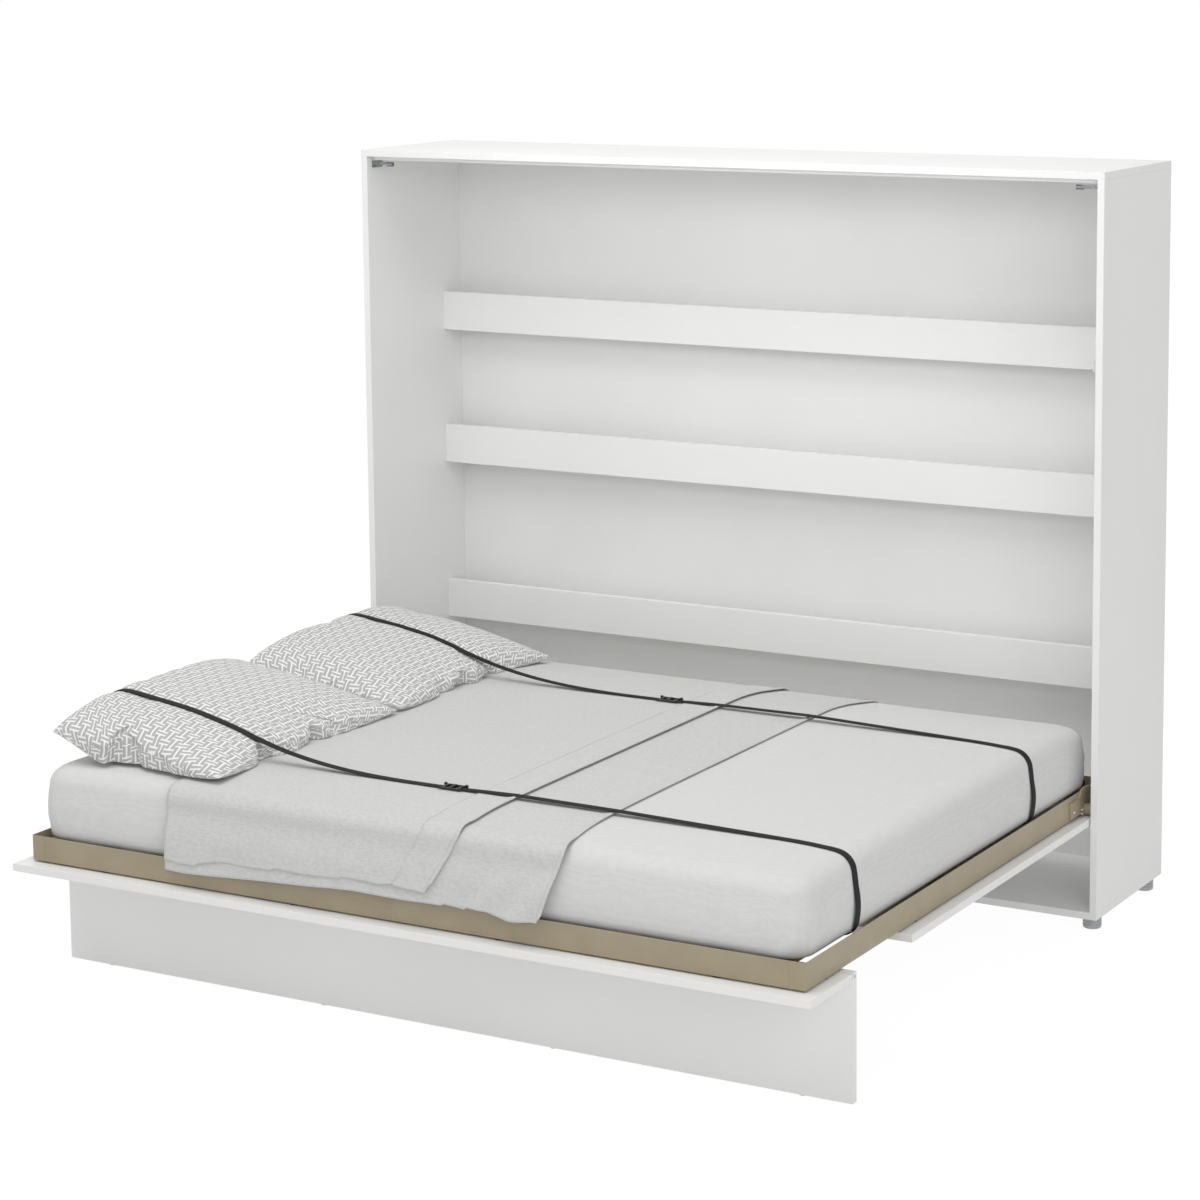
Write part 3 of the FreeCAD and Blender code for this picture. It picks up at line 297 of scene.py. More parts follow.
def mesh_piece(
    name: str, points: np.ndarray, faces: list = (), smooth: bool = True, edges: list = ()
) -> Piece:
    """Make a mesh object at the origin and put it in the scene.

    Args:
        name: the piece's name.
        points: one row of x, y, z per vertex.
        faces: vertex numbers of each face.
        smooth: whether its faces are shaded smooth.
        edges: vertex numbers of each edge that has no face.

    Returns:
        The new object.
    """
    mesh = bpy.data.meshes.new(name)
    mesh.from_pydata([tuple(p) for p in np.asarray(points).tolist()], edges, faces)
    mesh.polygons.foreach_set("use_smooth", [smooth] * len(mesh.polygons))
    mesh.update()
    piece = bpy.data.objects.new(name, mesh)
    bpy.context.scene.collection.objects.link(piece)
    return piece


def line_piece(name: str, path: np.ndarray) -> Piece:
    """An object of edges along a path, for a node tree to work on."""
    return mesh_piece(name, path, edges=[(i, i + 1) for i in range(len(path) - 1)])


def grid_faces(rows: int, columns: int, around: bool = False) -> list[tuple[int, ...]]:
    """Quads between rows of points.

    Args:
        rows: how many rows of points.
        columns: points in a row.
        around: whether the last column joins the first.

    Returns:
        Vertex numbers of each quad.
    """
    faces = []
    for i in range(rows - 1):
        a, b = i * columns, (i + 1) * columns
        for j in range(columns if around else columns - 1):
            k = (j + 1) % columns
            faces.append((a + j, a + k, b + k, b + j))
    return faces


def turned(
    rings: list[tuple[float, float]], sides: int, bottom: float, top: float
) -> tuple[np.ndarray, list]:
    """A closed body turned about Z.

    Args:
        rings: radius and height of each ring, from the bottom up.
        sides: points in a ring.
        bottom: height of its lower pole.
        top: height of its upper pole.

    Returns:
        Its points, poles last, and its faces.
    """
    turns = [2 * math.pi * k / sides for k in range(sides)]
    points = [(r * math.cos(turn), r * math.sin(turn), z) for r, z in rings for turn in turns]
    count = len(points)
    faces = grid_faces(len(rings), sides, True)
    for k in range(sides):
        n = (k + 1) % sides
        faces += [(count, n, k), (count + 1, count - sides + k, count - sides + n)]
    return np.array(points + [(0, 0, bottom), (0, 0, top)]), faces


def baked(piece: Piece) -> Piece:
    """Apply all modifiers of a piece, keeping its materials.

    Args:
        piece: the object; it is given its evaluated mesh.

    Returns:
        The same object, without modifiers.
    """
    graph = bpy.context.evaluated_depsgraph_get()
    graph.update()
    mesh = bpy.data.meshes.new_from_object(piece.evaluated_get(graph), depsgraph=graph)
    piece.modifiers.clear()
    piece.data = mesh
    return piece


def outward(piece: Piece) -> Piece:
    """Merge doubles and turn the faces of a closed piece outwards."""
    work = bmesh.new()
    work.from_mesh(piece.data)
    bmesh.ops.remove_doubles(work, verts=work.verts, dist=1e-6)
    bmesh.ops.recalc_face_normals(work, faces=work.faces)
    work.to_mesh(piece.data)
    work.free()
    return piece


def ripple(point: tuple[float, float, float], size: float, seed: float) -> float:
    """Smooth noise from about -1 to 1 whose waves are about size metres long."""
    here = Vector(point) / size + Vector((seed, seed * 1.7, seed * 0.3))
    return noise.fractal(here, 1.0, 2.0, 3)


def smooth_run(points: np.ndarray, step: float) -> np.ndarray:
    """Resample a polyline evenly along a smooth curve through its points.

    Args:
        points: the route's points, any number of coordinates each.
        step: wanted spacing.

    Returns:
        The evenly spaced points.
    """
    points = np.asarray(points, dtype=float)
    knots = np.concatenate([[0], np.cumsum(np.linalg.norm(np.diff(points, axis=0), axis=1))])
    slopes = np.gradient(points, knots, axis=0)
    fine = np.linspace(0, knots[-1], max(8, int(knots[-1] / (step / 4))))
    at = np.clip(np.searchsorted(knots, fine, side="right") - 1, 0, len(knots) - 2)
    gap = (knots[at + 1] - knots[at])[:, None]
    t = (fine - knots[at])[:, None] / gap
    curve = points[at] * (1 + 2 * t) * (1 - t) ** 2 + points[at + 1] * t ** 2 * (3 - 2 * t)
    curve += slopes[at] * gap * t * (1 - t) ** 2 + slopes[at + 1] * gap * t ** 2 * (t - 1)
    length = np.concatenate([[0], np.cumsum(np.linalg.norm(np.diff(curve, axis=0), axis=1))])
    even = np.linspace(0, length[-1], max(2, int(round(length[-1] / step)) + 1))
    return np.column_stack([np.interp(even, length, curve[:, k]) for k in range(curve.shape[1])])


# ------------------------------------------------------------------ finishes
@dataclass(frozen=True)
class Finish:
    """A surface with a plain name, its colour and how rough it is."""

    name: str
    colour: str
    roughness: float

    def material(self) -> bpy.types.Material:
        """The finish's material, built once."""
        found = bpy.data.materials.get(self.name)
        if found:
            return found
        made = bpy.data.materials.new(self.name)
        tree = cleared_tree(made)
        shader = add_node(
            tree, "ShaderNodeBsdfPrincipled",
            {"Base Color": linear(self.colour), "Roughness": self.roughness},
        )
        add_node(tree, "ShaderNodeOutputMaterial", {"Surface": shader})
        place = add_node(tree, "ShaderNodeTexCoord").outputs["Object"]
        feed(shader, self.looks(tree, place))
        return made

    def looks(self, tree: Tree, place: Socket) -> dict:
        """What the surface shows beyond its plain colour.

        Args:
            tree: the material's tree.
            place: coordinates in metres.

        Returns:
            Inputs of the shader.
        """
        return {}

    def mottle(
        self, tree: Tree, place: Socket, grain: float, other: str, low: float = 0.35, high: float = 0.65,
    ) -> Socket:
        """Noise between the finish's colour and another.

        Args:
            tree: the material's tree.
            place: coordinates in metres.
            grain: size of one patch in metres.
            other: second colour, sRGB hex.
            low: noise value that still shows the finish's colour.
            high: noise value that shows the other colour.

        Returns:
            The mixed colour.
        """
        patches = cloud(tree, place, grain, 3.0, 0.55)
        return blend(tree, remap(tree, patches, low, high), self.colour, other)


@dataclass(frozen=True)
class FacedBoard(Finish):
    """Melamine or lacquer on board: satin, with a fine pearl and hardly any change of tone."""

    pearl: float = 1.4 * MM
    tone: str = "#E9E9E8"

    def looks(self, tree: Tree, place: Socket) -> dict:
        """Soft clouding over half a metre and the press plate's pearl."""
        pearl = cloud(tree, place, self.pearl, 2.0, 0.6)
        return {
            "Base Color": self.mottle(tree, place, 0.45, self.tone, 0.3, 0.75),
            "Roughness": remap(tree, pearl, 0.3, 0.7, self.roughness - 0.05, self.roughness + 0.06),
            "Normal": relief(tree, pearl, 0.05 * MM, 0.5),
        }


@dataclass(frozen=True)
class PowderCoat(Finish):
    """Baked polyester powder: a slight orange peel, and a painted shadow line in the hairline joints where
    sections meet.
    """

    peel: float = 1.1 * MM
    shade: str = "#988D77"
    joint_x: float = 0.0
    joint_width: float = 0.5 * MM
    # Colour painted on the hairline joint as its shadow.
    joint_gap_shadow: str = "#6E6757"

    def looks(self, tree: Tree, place: Socket) -> dict:
        """Orange peel, clouding, and a painted shadow line at each corner piece's hairline joint."""
        colour = self.mottle(tree, place, 0.12, self.shade, 0.35, 0.8)
        # Painted shade: the hairline gap at each corner piece is darkened in the colour, standing in for its
        # shadow.
        if self.joint_x:
            side = calc(tree, "ABSOLUTE", add_node(tree, "ShaderNodeSeparateXYZ", {0: place}))
            in_gap_shadow = calc(tree, "COMPARE", side, self.joint_x, self.joint_width)
            colour = blend(tree, in_gap_shadow, colour, self.joint_gap_shadow)
        peel = cloud(tree, place, self.peel, 1.0)
        return {"Base Color": colour, "Normal": relief(tree, peel, 0.08 * MM, 0.6)}


@dataclass(frozen=True)
class MouldedPlastic(Finish):
    """Injection-moulded plastic with the fine matt texture of a spark-eroded mould."""

    texture: float = 0.7 * MM
    shade: str = "#202020"

    def looks(self, tree: Tree, place: Socket) -> dict:
        """Mould texture and a faint change of tone."""
        grit = cloud(tree, place, self.texture)
        return {
            "Base Color": self.mottle(tree, place, 20 * MM, self.shade),
            "Normal": relief(tree, grit, 0.06 * MM, 0.8),
        }


@dataclass(frozen=True)
class PlatedSteel(Finish):
    """Zinc or chrome on steel: metallic, with the grain of drawing or rolling along Y."""

    shade: str = "#8F9296"
    grain: float = 0.6 * MM
    stretch: tuple[float, float, float] = (1.0, 14.0, 1.0)

    def looks(self, tree: Tree, place: Socket) -> dict:
        """Metal with fine drawn lines and cloudy plating."""
        lines = cloud(tree, stretched(tree, place, self.stretch), self.grain)
        return {
            "Metallic": 1.0,
            "Base Color": self.mottle(tree, place, 9 * MM, self.shade, 0.3, 0.8),
            "Roughness": remap(tree, lines, 0.3, 0.7, self.roughness - 0.08, self.roughness + 0.1),
            "Normal": relief(tree, lines, 0.02 * MM, 0.5),
        }


@dataclass(frozen=True)
class SandedBeech(Finish):
    """Steamed beech veneer, sanded: straight grain along Y with short dark flecks."""

    shade: str = "#B98F5F"
    fleck: str = "#8A6238"
    grain: float = 2.2 * MM
    stretch: tuple[float, float, float] = (1.0, 40.0, 1.0)
    fleck_size: tuple[float, float, float] = (0.8 * MM, 6 * MM, 1 * MM)

    def looks(self, tree: Tree, place: Socket) -> dict:
        """Grain stretched along the slat and the flecks of the rays."""
        lines = cloud(tree, stretched(tree, place, self.stretch), self.grain, 3.0, 0.55)
        wood = blend(tree, remap(tree, lines, 0.35, 0.8), self.colour, self.shade)
        cells = add_node(
            tree, "ShaderNodeTexVoronoi", {"Vector": stretched(tree, place, self.fleck_size), "Scale": 1.0}
        )
        dark = remap(tree, cells.outputs[0], 0.08, 0.2, 0.35, 0.0)
        return {
            "Base Color": blend(tree, dark, wood, self.fleck), "Normal": relief(tree, lines, 0.08 * MM, 0.5)
        }


@dataclass(frozen=True)
class Cloth(Finish):
    """Soft textile: a slight sheen, and creases under its own threads or print."""

    crease: float = 0.5 * MM
    crease_size: float = 50 * MM
    crease_roughness: float = 0.55
    crease_swirl: float = 0.6
    raise_by: float = 0.25 * MM

    def textile(self, tree: Tree, place: Socket, colour: Socket, height: Socket) -> dict:
        """The shader's inputs for a textile.

        Args:
            tree: the material's tree.
            place: coordinates in metres.
            colour: its colour.
            height: height field of its threads or print.

        Returns:
            Inputs of the shader.
        """
        creases = cloud(tree, place, self.crease_size, 4.0, self.crease_roughness, self.crease_swirl)
        return {
            "Sheen Weight": 0.15, "Sheen Roughness": 0.5, "Base Color": colour,
            "Normal": relief(tree, height, self.raise_by, 0.5, relief(tree, creases, self.crease, 0.6)),
        }


@dataclass(frozen=True)
class PlainWeave(Cloth):
    """Woven cotton or linen: crossing threads with painted shade between them, slubs and soft clouding.

    The threads are drawn coarser than the real 0.4 mm ones, so that they show.
    """

    thread: float = 1.6 * MM
    shade: str = "#BDBDBC"
    slub: float = 7 * MM

    def looks(self, tree: Tree, place: Socket) -> dict:
        """Warp, weft, painted shade between the threads, slubs and small creases."""
        colour = self.mottle(tree, stretched(tree, place, (1.8, 1.0, 1.0)), self.slub, self.shade, 0.38, 0.82)
        threads = {"Vector": place, "Scale": 0.1 * math.pi / self.thread, "Distortion": 2.5,
                   "Detail": 2.0, "Detail Scale": 2.0}
        warp, weft = (
            add_node(tree, "ShaderNodeTexWave", threads, bands_direction=axis).outputs["Fac"] for axis in "XY"
        )
        weave = calc(tree, "MULTIPLY", warp, weft)
        # Painted shade: the colour is darkened by up to 7 % where the threads' relief is low, between the
        # threads.
        thread_shaded_colour = blend(tree, 1.0, colour, remap(tree, weave, 0.0, 1.0, 0.93, 1.0), "MULTIPLY")
        return self.textile(tree, place, thread_shaded_colour, weave)


@dataclass(frozen=True)
class BasketWeavePrint(Cloth):
    """Cotton pillowcase printed with a white basket weave on grey, in the case's own UV metres."""

    crease: float = 1.2 * MM
    crease_size: float = 35 * MM
    crease_roughness: float = 0.5
    crease_swirl: float = 0.8
    raise_by: float = 0.3 * MM
    line: str = "#FAFAF9"
    block: float = 24 * MM
    stroke: float = 4.6 * MM
    pair_offset: float = 5.6 * MM
    soft: float = 0.8 * MM

    def band(self, tree: Tree, value: Socket, centre: float, half: float) -> Socket:
        """Soft-edged band around a centre of a value.

        Args:
            tree: the material's tree.
            value: distance field in blocks.
            centre: middle of the band, in blocks.
            half: half its width, in blocks.

        Returns:
            1 inside the band and 0 outside it.
        """
        away = calc(tree, "ABSOLUTE", calc(tree, "SUBTRACT", value, centre))
        edge = self.soft / self.block
        return remap(tree, away, half + edge, half - edge)

    def woven(self, tree: Tree) -> Socket:
        """The print's mask: a long upright in one block, a pair of level bars in the next."""
        chart = add_node(tree, "ShaderNodeUVMap", uv_map="case")
        blocks = add_node(
            tree, "ShaderNodeVectorMath", {0: chart, "Scale": 1 / self.block}, operation="SCALE"
        )
        whole = add_node(tree, "ShaderNodeVectorMath", {0: blocks}, operation="FLOOR")
        inside = add_node(tree, "ShaderNodeVectorMath", {0: blocks, 1: whole}, operation="SUBTRACT")
        local, number = (
            add_node(tree, "ShaderNodeSeparateXYZ", {0: place}).outputs for place in (inside, whole)
        )
        level = calc(tree, "FLOORED_MODULO", calc(tree, "ADD", number[0], number[1]), 2.0)
        upright = calc(tree, "SUBTRACT", 1.0, level)
        out_x, out_y = (calc(tree, "ABSOLUTE", calc(tree, "SUBTRACT", local[k], 0.5)) for k in (0, 1))

        half = self.stroke / 2 / self.block
        bar = self.band(tree, out_x, 0.0, half)
        pair = self.band(tree, out_y, self.pair_offset / self.block, half)
        beyond = self.band(tree, out_y, 0.5, 0.3)
        border = self.band(tree, out_x, 0.5, 0.07)
        level_block = calc(tree, "MAXIMUM", pair, calc(tree, "MULTIPLY", bar, beyond))
        stub = calc(tree, "MAXIMUM", bar, calc(tree, "MULTIPLY", pair, border))
        upright_block = calc(tree, "MAXIMUM", stub, calc(tree, "MULTIPLY", border, 0.45))
        shares = calc(tree, "MULTIPLY", level_block, level), calc(tree, "MULTIPLY", upright_block, upright)
        return calc(tree, "ADD", *shares)

    def looks(self, tree: Tree, place: Socket) -> dict:
        """The print, a little worn, over small creases."""
        mask = self.woven(tree)
        cover = remap(tree, cloud(tree, place, 3 * MM), 0.25, 0.6, 0.75, 1.0)
        colour = blend(tree, calc(tree, "MULTIPLY", mask, cover), self.colour, self.line)
        return self.textile(tree, place, colour, mask)


@dataclass(frozen=True)
class WovenWebbing(Finish):
    """Polyester webbing: three raised ribs along it and fine cross threads, in its own UV metres."""

    rib: float = 7.3 * MM
    thread: float = 1.8 * MM
    # The lighter colour, painted on the crests of the ribs and threads as highlight.
    shade: str = "#242425"

    def looks(self, tree: Tree, place: Socket) -> dict:
        """Ribs and threads as relief, with a painted highlight on their crests and painted shade in their
        grooves.
        """
        chart = add_node(tree, "ShaderNodeAttribute", attribute_name="webbing").outputs["Vector"]
        parts = add_node(tree, "ShaderNodeSeparateXYZ", {0: chart}).outputs
        turn = calc(tree, "MULTIPLY", parts[0], 2 * math.pi / self.thread)
        wave = calc(tree, "SINE", calc(tree, "MULTIPLY_ADD", parts[1], 2 * math.pi / self.rib, turn))
        share = remap(tree, wave, -1.0, 1.0)
        return {
            "Specular IOR Level": 0.25,
            # Painted light: lighter where the ribs and threads stand high, darker in the grooves.
            "Base Color": blend(tree, share, self.colour, self.shade),
            "Normal": relief(tree, share, 0.2 * MM, 0.7),
        }


FINISHES: dict[Slot, Finish] = {
    # Satin melamine: white, no grain, a soft broad highlight.
    Slot.BOARD: FacedBoard("satin_melamine_board", "#F2F2F1", 0.42, tone="#EEEEED"),
    # Lacquered hardboard: a shade greyer and duller than the boards.
    Slot.HARDBOARD: FacedBoard("lacquered_hardboard", "#F0F0EF", 0.55, tone="#EAEAE9", pearl=2.2 * MM),
    Slot.WHITE_PLASTIC: MouldedPlastic("white_moulded_plastic", "#DADAD8", 0.45, shade="#D2D2D0"),
    Slot.FOOT_PLASTIC: MouldedPlastic("silver_grey_moulded_plastic", "#B9BABC", 0.38, shade="#ACADB0"),
    Slot.BEECH: SandedBeech("sanded_beech", "#D2AE7E", 0.55),
    Slot.ZINC: PlatedSteel("zinc_plated_sheet", "#9C9EA1", 0.38, shade="#7C7E81"),
    Slot.BRIGHT: PlatedSteel("bright_plated_screws", "#D0D2D4", 0.25, shade="#B4B6BA"),
    Slot.BEIGE: PowderCoat("beige_powder_coat", "#A79B82", 0.45, shade="#9C9078"),
    Slot.BLACK_PLASTIC: MouldedPlastic("black_moulded_plastic", "#2A2A2B", 0.4, shade="#222223"),
    Slot.STRUT_BLACK: PowderCoat("black_stove_enamel", "#1B1B1C", 0.3, shade="#161617"),
    Slot.STRUT_ROD: PlatedSteel("ground_chrome_rod", "#D5D8DC", 0.12, shade="#C6C9CE"),
    # Cotton cover: nearly white and soft, with faint threads.
    Slot.MATTRESS: PlainWeave("cotton_mattress_cover", "#E2E2E1", 0.85, shade="#DCDCDB", slub=11 * MM),
    # Linen-look sheet: light grey with visible slubs.
    Slot.SHEET: PlainWeave("grey_linen_sheet", "#D9D9D7", 0.88, shade="#CACAC8", slub=6 * MM),
    Slot.PILLOW: BasketWeavePrint("basket_weave_pillowcase", "#B6B6B5", 0.85),
    Slot.WEBBING: WovenWebbing("black_polyester_webbing", "#161617", 0.75),
}


def finish_piece(piece: Piece, slot: Slot, body: Body) -> Piece:
    """Give a piece the material of its record slot, and its body.

    Args:
        piece: the finished object, in place.
        slot: the record's slot that it takes its finish from.
        body: the body that carries it.

    Returns:
        The same object.
    """
    piece.data.materials.clear()
    piece.data.materials.append(FINISHES[slot].material())
    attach(piece, body.value)
    LOG.info("%s: %d faces, %s", piece.name, len(piece.data.polygons), FINISHES[slot].name)
    return piece


# ------------------------------------------------------------------ the frame's own nodes
def copies(
    name: str, shape: tuple[np.ndarray, list], places: list, facing: list, size: float, slot: Slot,
    body: Body,
) -> Piece:
    """Set copies of a flat-shaded shape on points by a Geometry Nodes tree.

    Args:
        name: name of the new piece.
        shape: points and faces of one copy.
        places: where the copies stand.
        facing: direction of each copy's +Z.
        size: scale of the copies.
        slot: the record's slot that they take their finish from.
        body: body that carries them.

    Returns:
        The finished piece.
    """
    prototype = mesh_piece(name + "_prototype", *shape, False)
    bpy.context.scene.collection.objects.unlink(prototype)
    piece = mesh_piece(name, places)
    directions = piece.data.attributes.new("facing", "FLOAT_VECTOR", "POINT")
    directions.data.foreach_set("vector", [c for direction in facing for c in direction])
    tree, given = open_tree(name, {"Prototype": "Object", "Size": "Float"})
    source = add_node(tree, "GeometryNodeObjectInfo", {"Object": given.outputs["Prototype"]})
    towards = add_node(tree, "GeometryNodeInputNamedAttribute", {"Name": "facing"}, data_type="FLOAT_VECTOR")
    turn = add_node(tree, "FunctionNodeAlignRotationToVector", {"Vector": towards}, axis="Z")
    set_down = add_node(
        tree, "GeometryNodeInstanceOnPoints",
        {"Points": given.outputs["Geometry"], "Instance": source.outputs["Geometry"], "Rotation": turn,
         "Scale": given.outputs["Size"]},
    )
    run_tree(piece, close_tree(tree, given, set_down), slot, {"Prototype": prototype, "Size": size})
    bpy.data.objects.remove(prototype)
    return finish_piece(piece, slot, body)


@dataclass
class Hardware:
    """Materials of the construction nodes, and detail on their fasteners and feet."""

    frame: dict
    corner_arm: float = 38 * MM
    head_sides: int = 24
    head_dome: tuple = ((1.0, 0.0), (1.0, 0.12), (0.93, 0.3), (0.78, 0.44), (0.55, 0.52))
    recess_reach: float = 0.6
    recess_width: float = 0.16
    recess_depth: float = 0.3
    recess_floor: float = 0.2
    foot_sides: int = 64
    foot_grooves: int = 3
    groove_start: float = 5 * MM
    flange_height: float = 6 * MM
    groove: tuple = ((0.7, 0.0), (0.2, 0.25), (0.2, 0.55), (0.7, 0.7), (1.9, 0.8), (1.9, 0.92))

    def dress(self) -> None:
        """Give every node that shows its record's finish."""
        rows = self.frame["record"]["subparts"]
        for row in rows:
            materials = self.frame["nodes"][row["node"]].data.materials
            materials.clear()
            materials.append(FINISHES[Slot(row["material_slot"])].material())
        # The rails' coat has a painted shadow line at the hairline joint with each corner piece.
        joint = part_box("frame_corners")[1].x - self.corner_arm
        beige = FINISHES[Slot.BEIGE]
        gap_shadowed_coat = PowderCoat("beige_powder_coat_jointed", beige.colour, beige.roughness, joint_x=joint)
        for name in ("frame_rail_front", "frame_rail_rear"):
            self.frame["nodes"][name].data.materials[0] = gap_shadowed_coat.material()
        LOG.info("hardware: %d nodes dressed", len(rows))

    def solids(self, node: str) -> list[np.ndarray]:
        """Points of each separate solid of a node.

        Args:
            node: the node's name.

        Returns:
            One array of x, y, z rows per solid.
        """
        work = bmesh.new()
        work.from_mesh(self.frame["nodes"][node].data)
        bmesh.ops.remove_doubles(work, verts=work.verts, dist=1e-5)
        seen: set[int] = set()
        found = []
        for start in work.verts:
            if start.index in seen:
                continue
            seen.add(start.index)
            stack, members = [start], []
            while stack:
                here = stack.pop()
                members.append(tuple(here.co))
                for edge in here.link_edges:
                    other = edge.other_vert(here)
                    if other.index not in seen:
                        seen.add(other.index)
                        stack.append(other)
            found.append(np.array(members))
        work.free()
        return found

    def screw_places(self, node: str) -> list[tuple[Vector, Vector, float]]:
        """Head centre, outward direction and head radius of each screw of a node."""
        places = []
        for points in self.solids(node):
            low, high = points.min(axis=0), points.max(axis=0)
            axis = int(np.argmax(high - low))
            across = [k for k in range(3) if k != axis]
            centre = (low + high) / 2
            spread = np.linalg.norm(points[:, across] - centre[across], axis=1)
            near_low = spread[points[:, axis] < low[axis] + 1 * MM].max()
            near_high = spread[points[:, axis] > high[axis] - 1 * MM].max()
            sign = 1 if near_high > near_low else -1
            centre[axis] = high[axis] if sign > 0 else low[axis]
            out = Vector((0, 0, 0))
            out[axis] = sign
            places.append((Vector(centre), out, float(max(near_low, near_high))))
        return places

    def bolt_heads(self) -> None:
        """Lay domed heads with a cross recess over the plain heads of the frame's bolts."""
        points, faces = turned(self.head_dome, self.head_sides, 0.0, self.recess_floor)
        reach, arm = np.hypot(points[:, 0], points[:, 1]), np.abs(points[:, :2]).min(axis=1)
        in_recess = (reach > 0) & (reach < self.recess_reach) & (arm < self.recess_width)
        points[in_recess, 2] -= self.recess_depth
        screws = self.screw_places("frame_bolts")
        copies(
            "frame_bolt_heads", (points, faces), [place - out * 0.3 * MM for place, out, _ in screws],
            [out for _, out, _ in screws], screws[0][2] * 1.02, Slot.BRIGHT, Body.BED,
        )

    def feet(self) -> None:
        """Turn the feet: a grooved adjusting ring under a flange, one copy on each foot's axis."""
        spans = [(points.min(axis=0), points.max(axis=0)) for points in self.solids("feet")]
        radius = (spans[0][1][0] - spans[0][0][0]) / 2
        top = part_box("bottom_panel")[0].z
        low, high = self.groove_start, top - self.flange_height
        pitch = (high - low) / self.foot_grooves
        rings = [(radius - 3.5 * MM, 0.0), (radius - 1.4 * MM, 1.6 * MM)]
        for k in range(self.foot_grooves):
            rings += [(radius - inset * MM, low + (k + share) * pitch) for inset, share in self.groove]
        rings += [(radius - 0.5 * MM, high), (radius, high + 1 * MM), (radius, top - 0.4 * MM)]
        axes = [(*((first + last) / 2)[:2], 0.0) for first, last in spans]
        feet = copies(
            "grooved_feet", turned(rings, self.foot_sides, 0.0, top), axes, [(0, 0, 1)] * len(axes), 1.0,
            Slot.FOOT_PLASTIC, Body.CABINET,
        )
        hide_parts("feet")

    def build(self) -> None:
        """Dress the nodes and add the detail pieces."""
        self.dress()
        self.bolt_heads()
        self.feet()


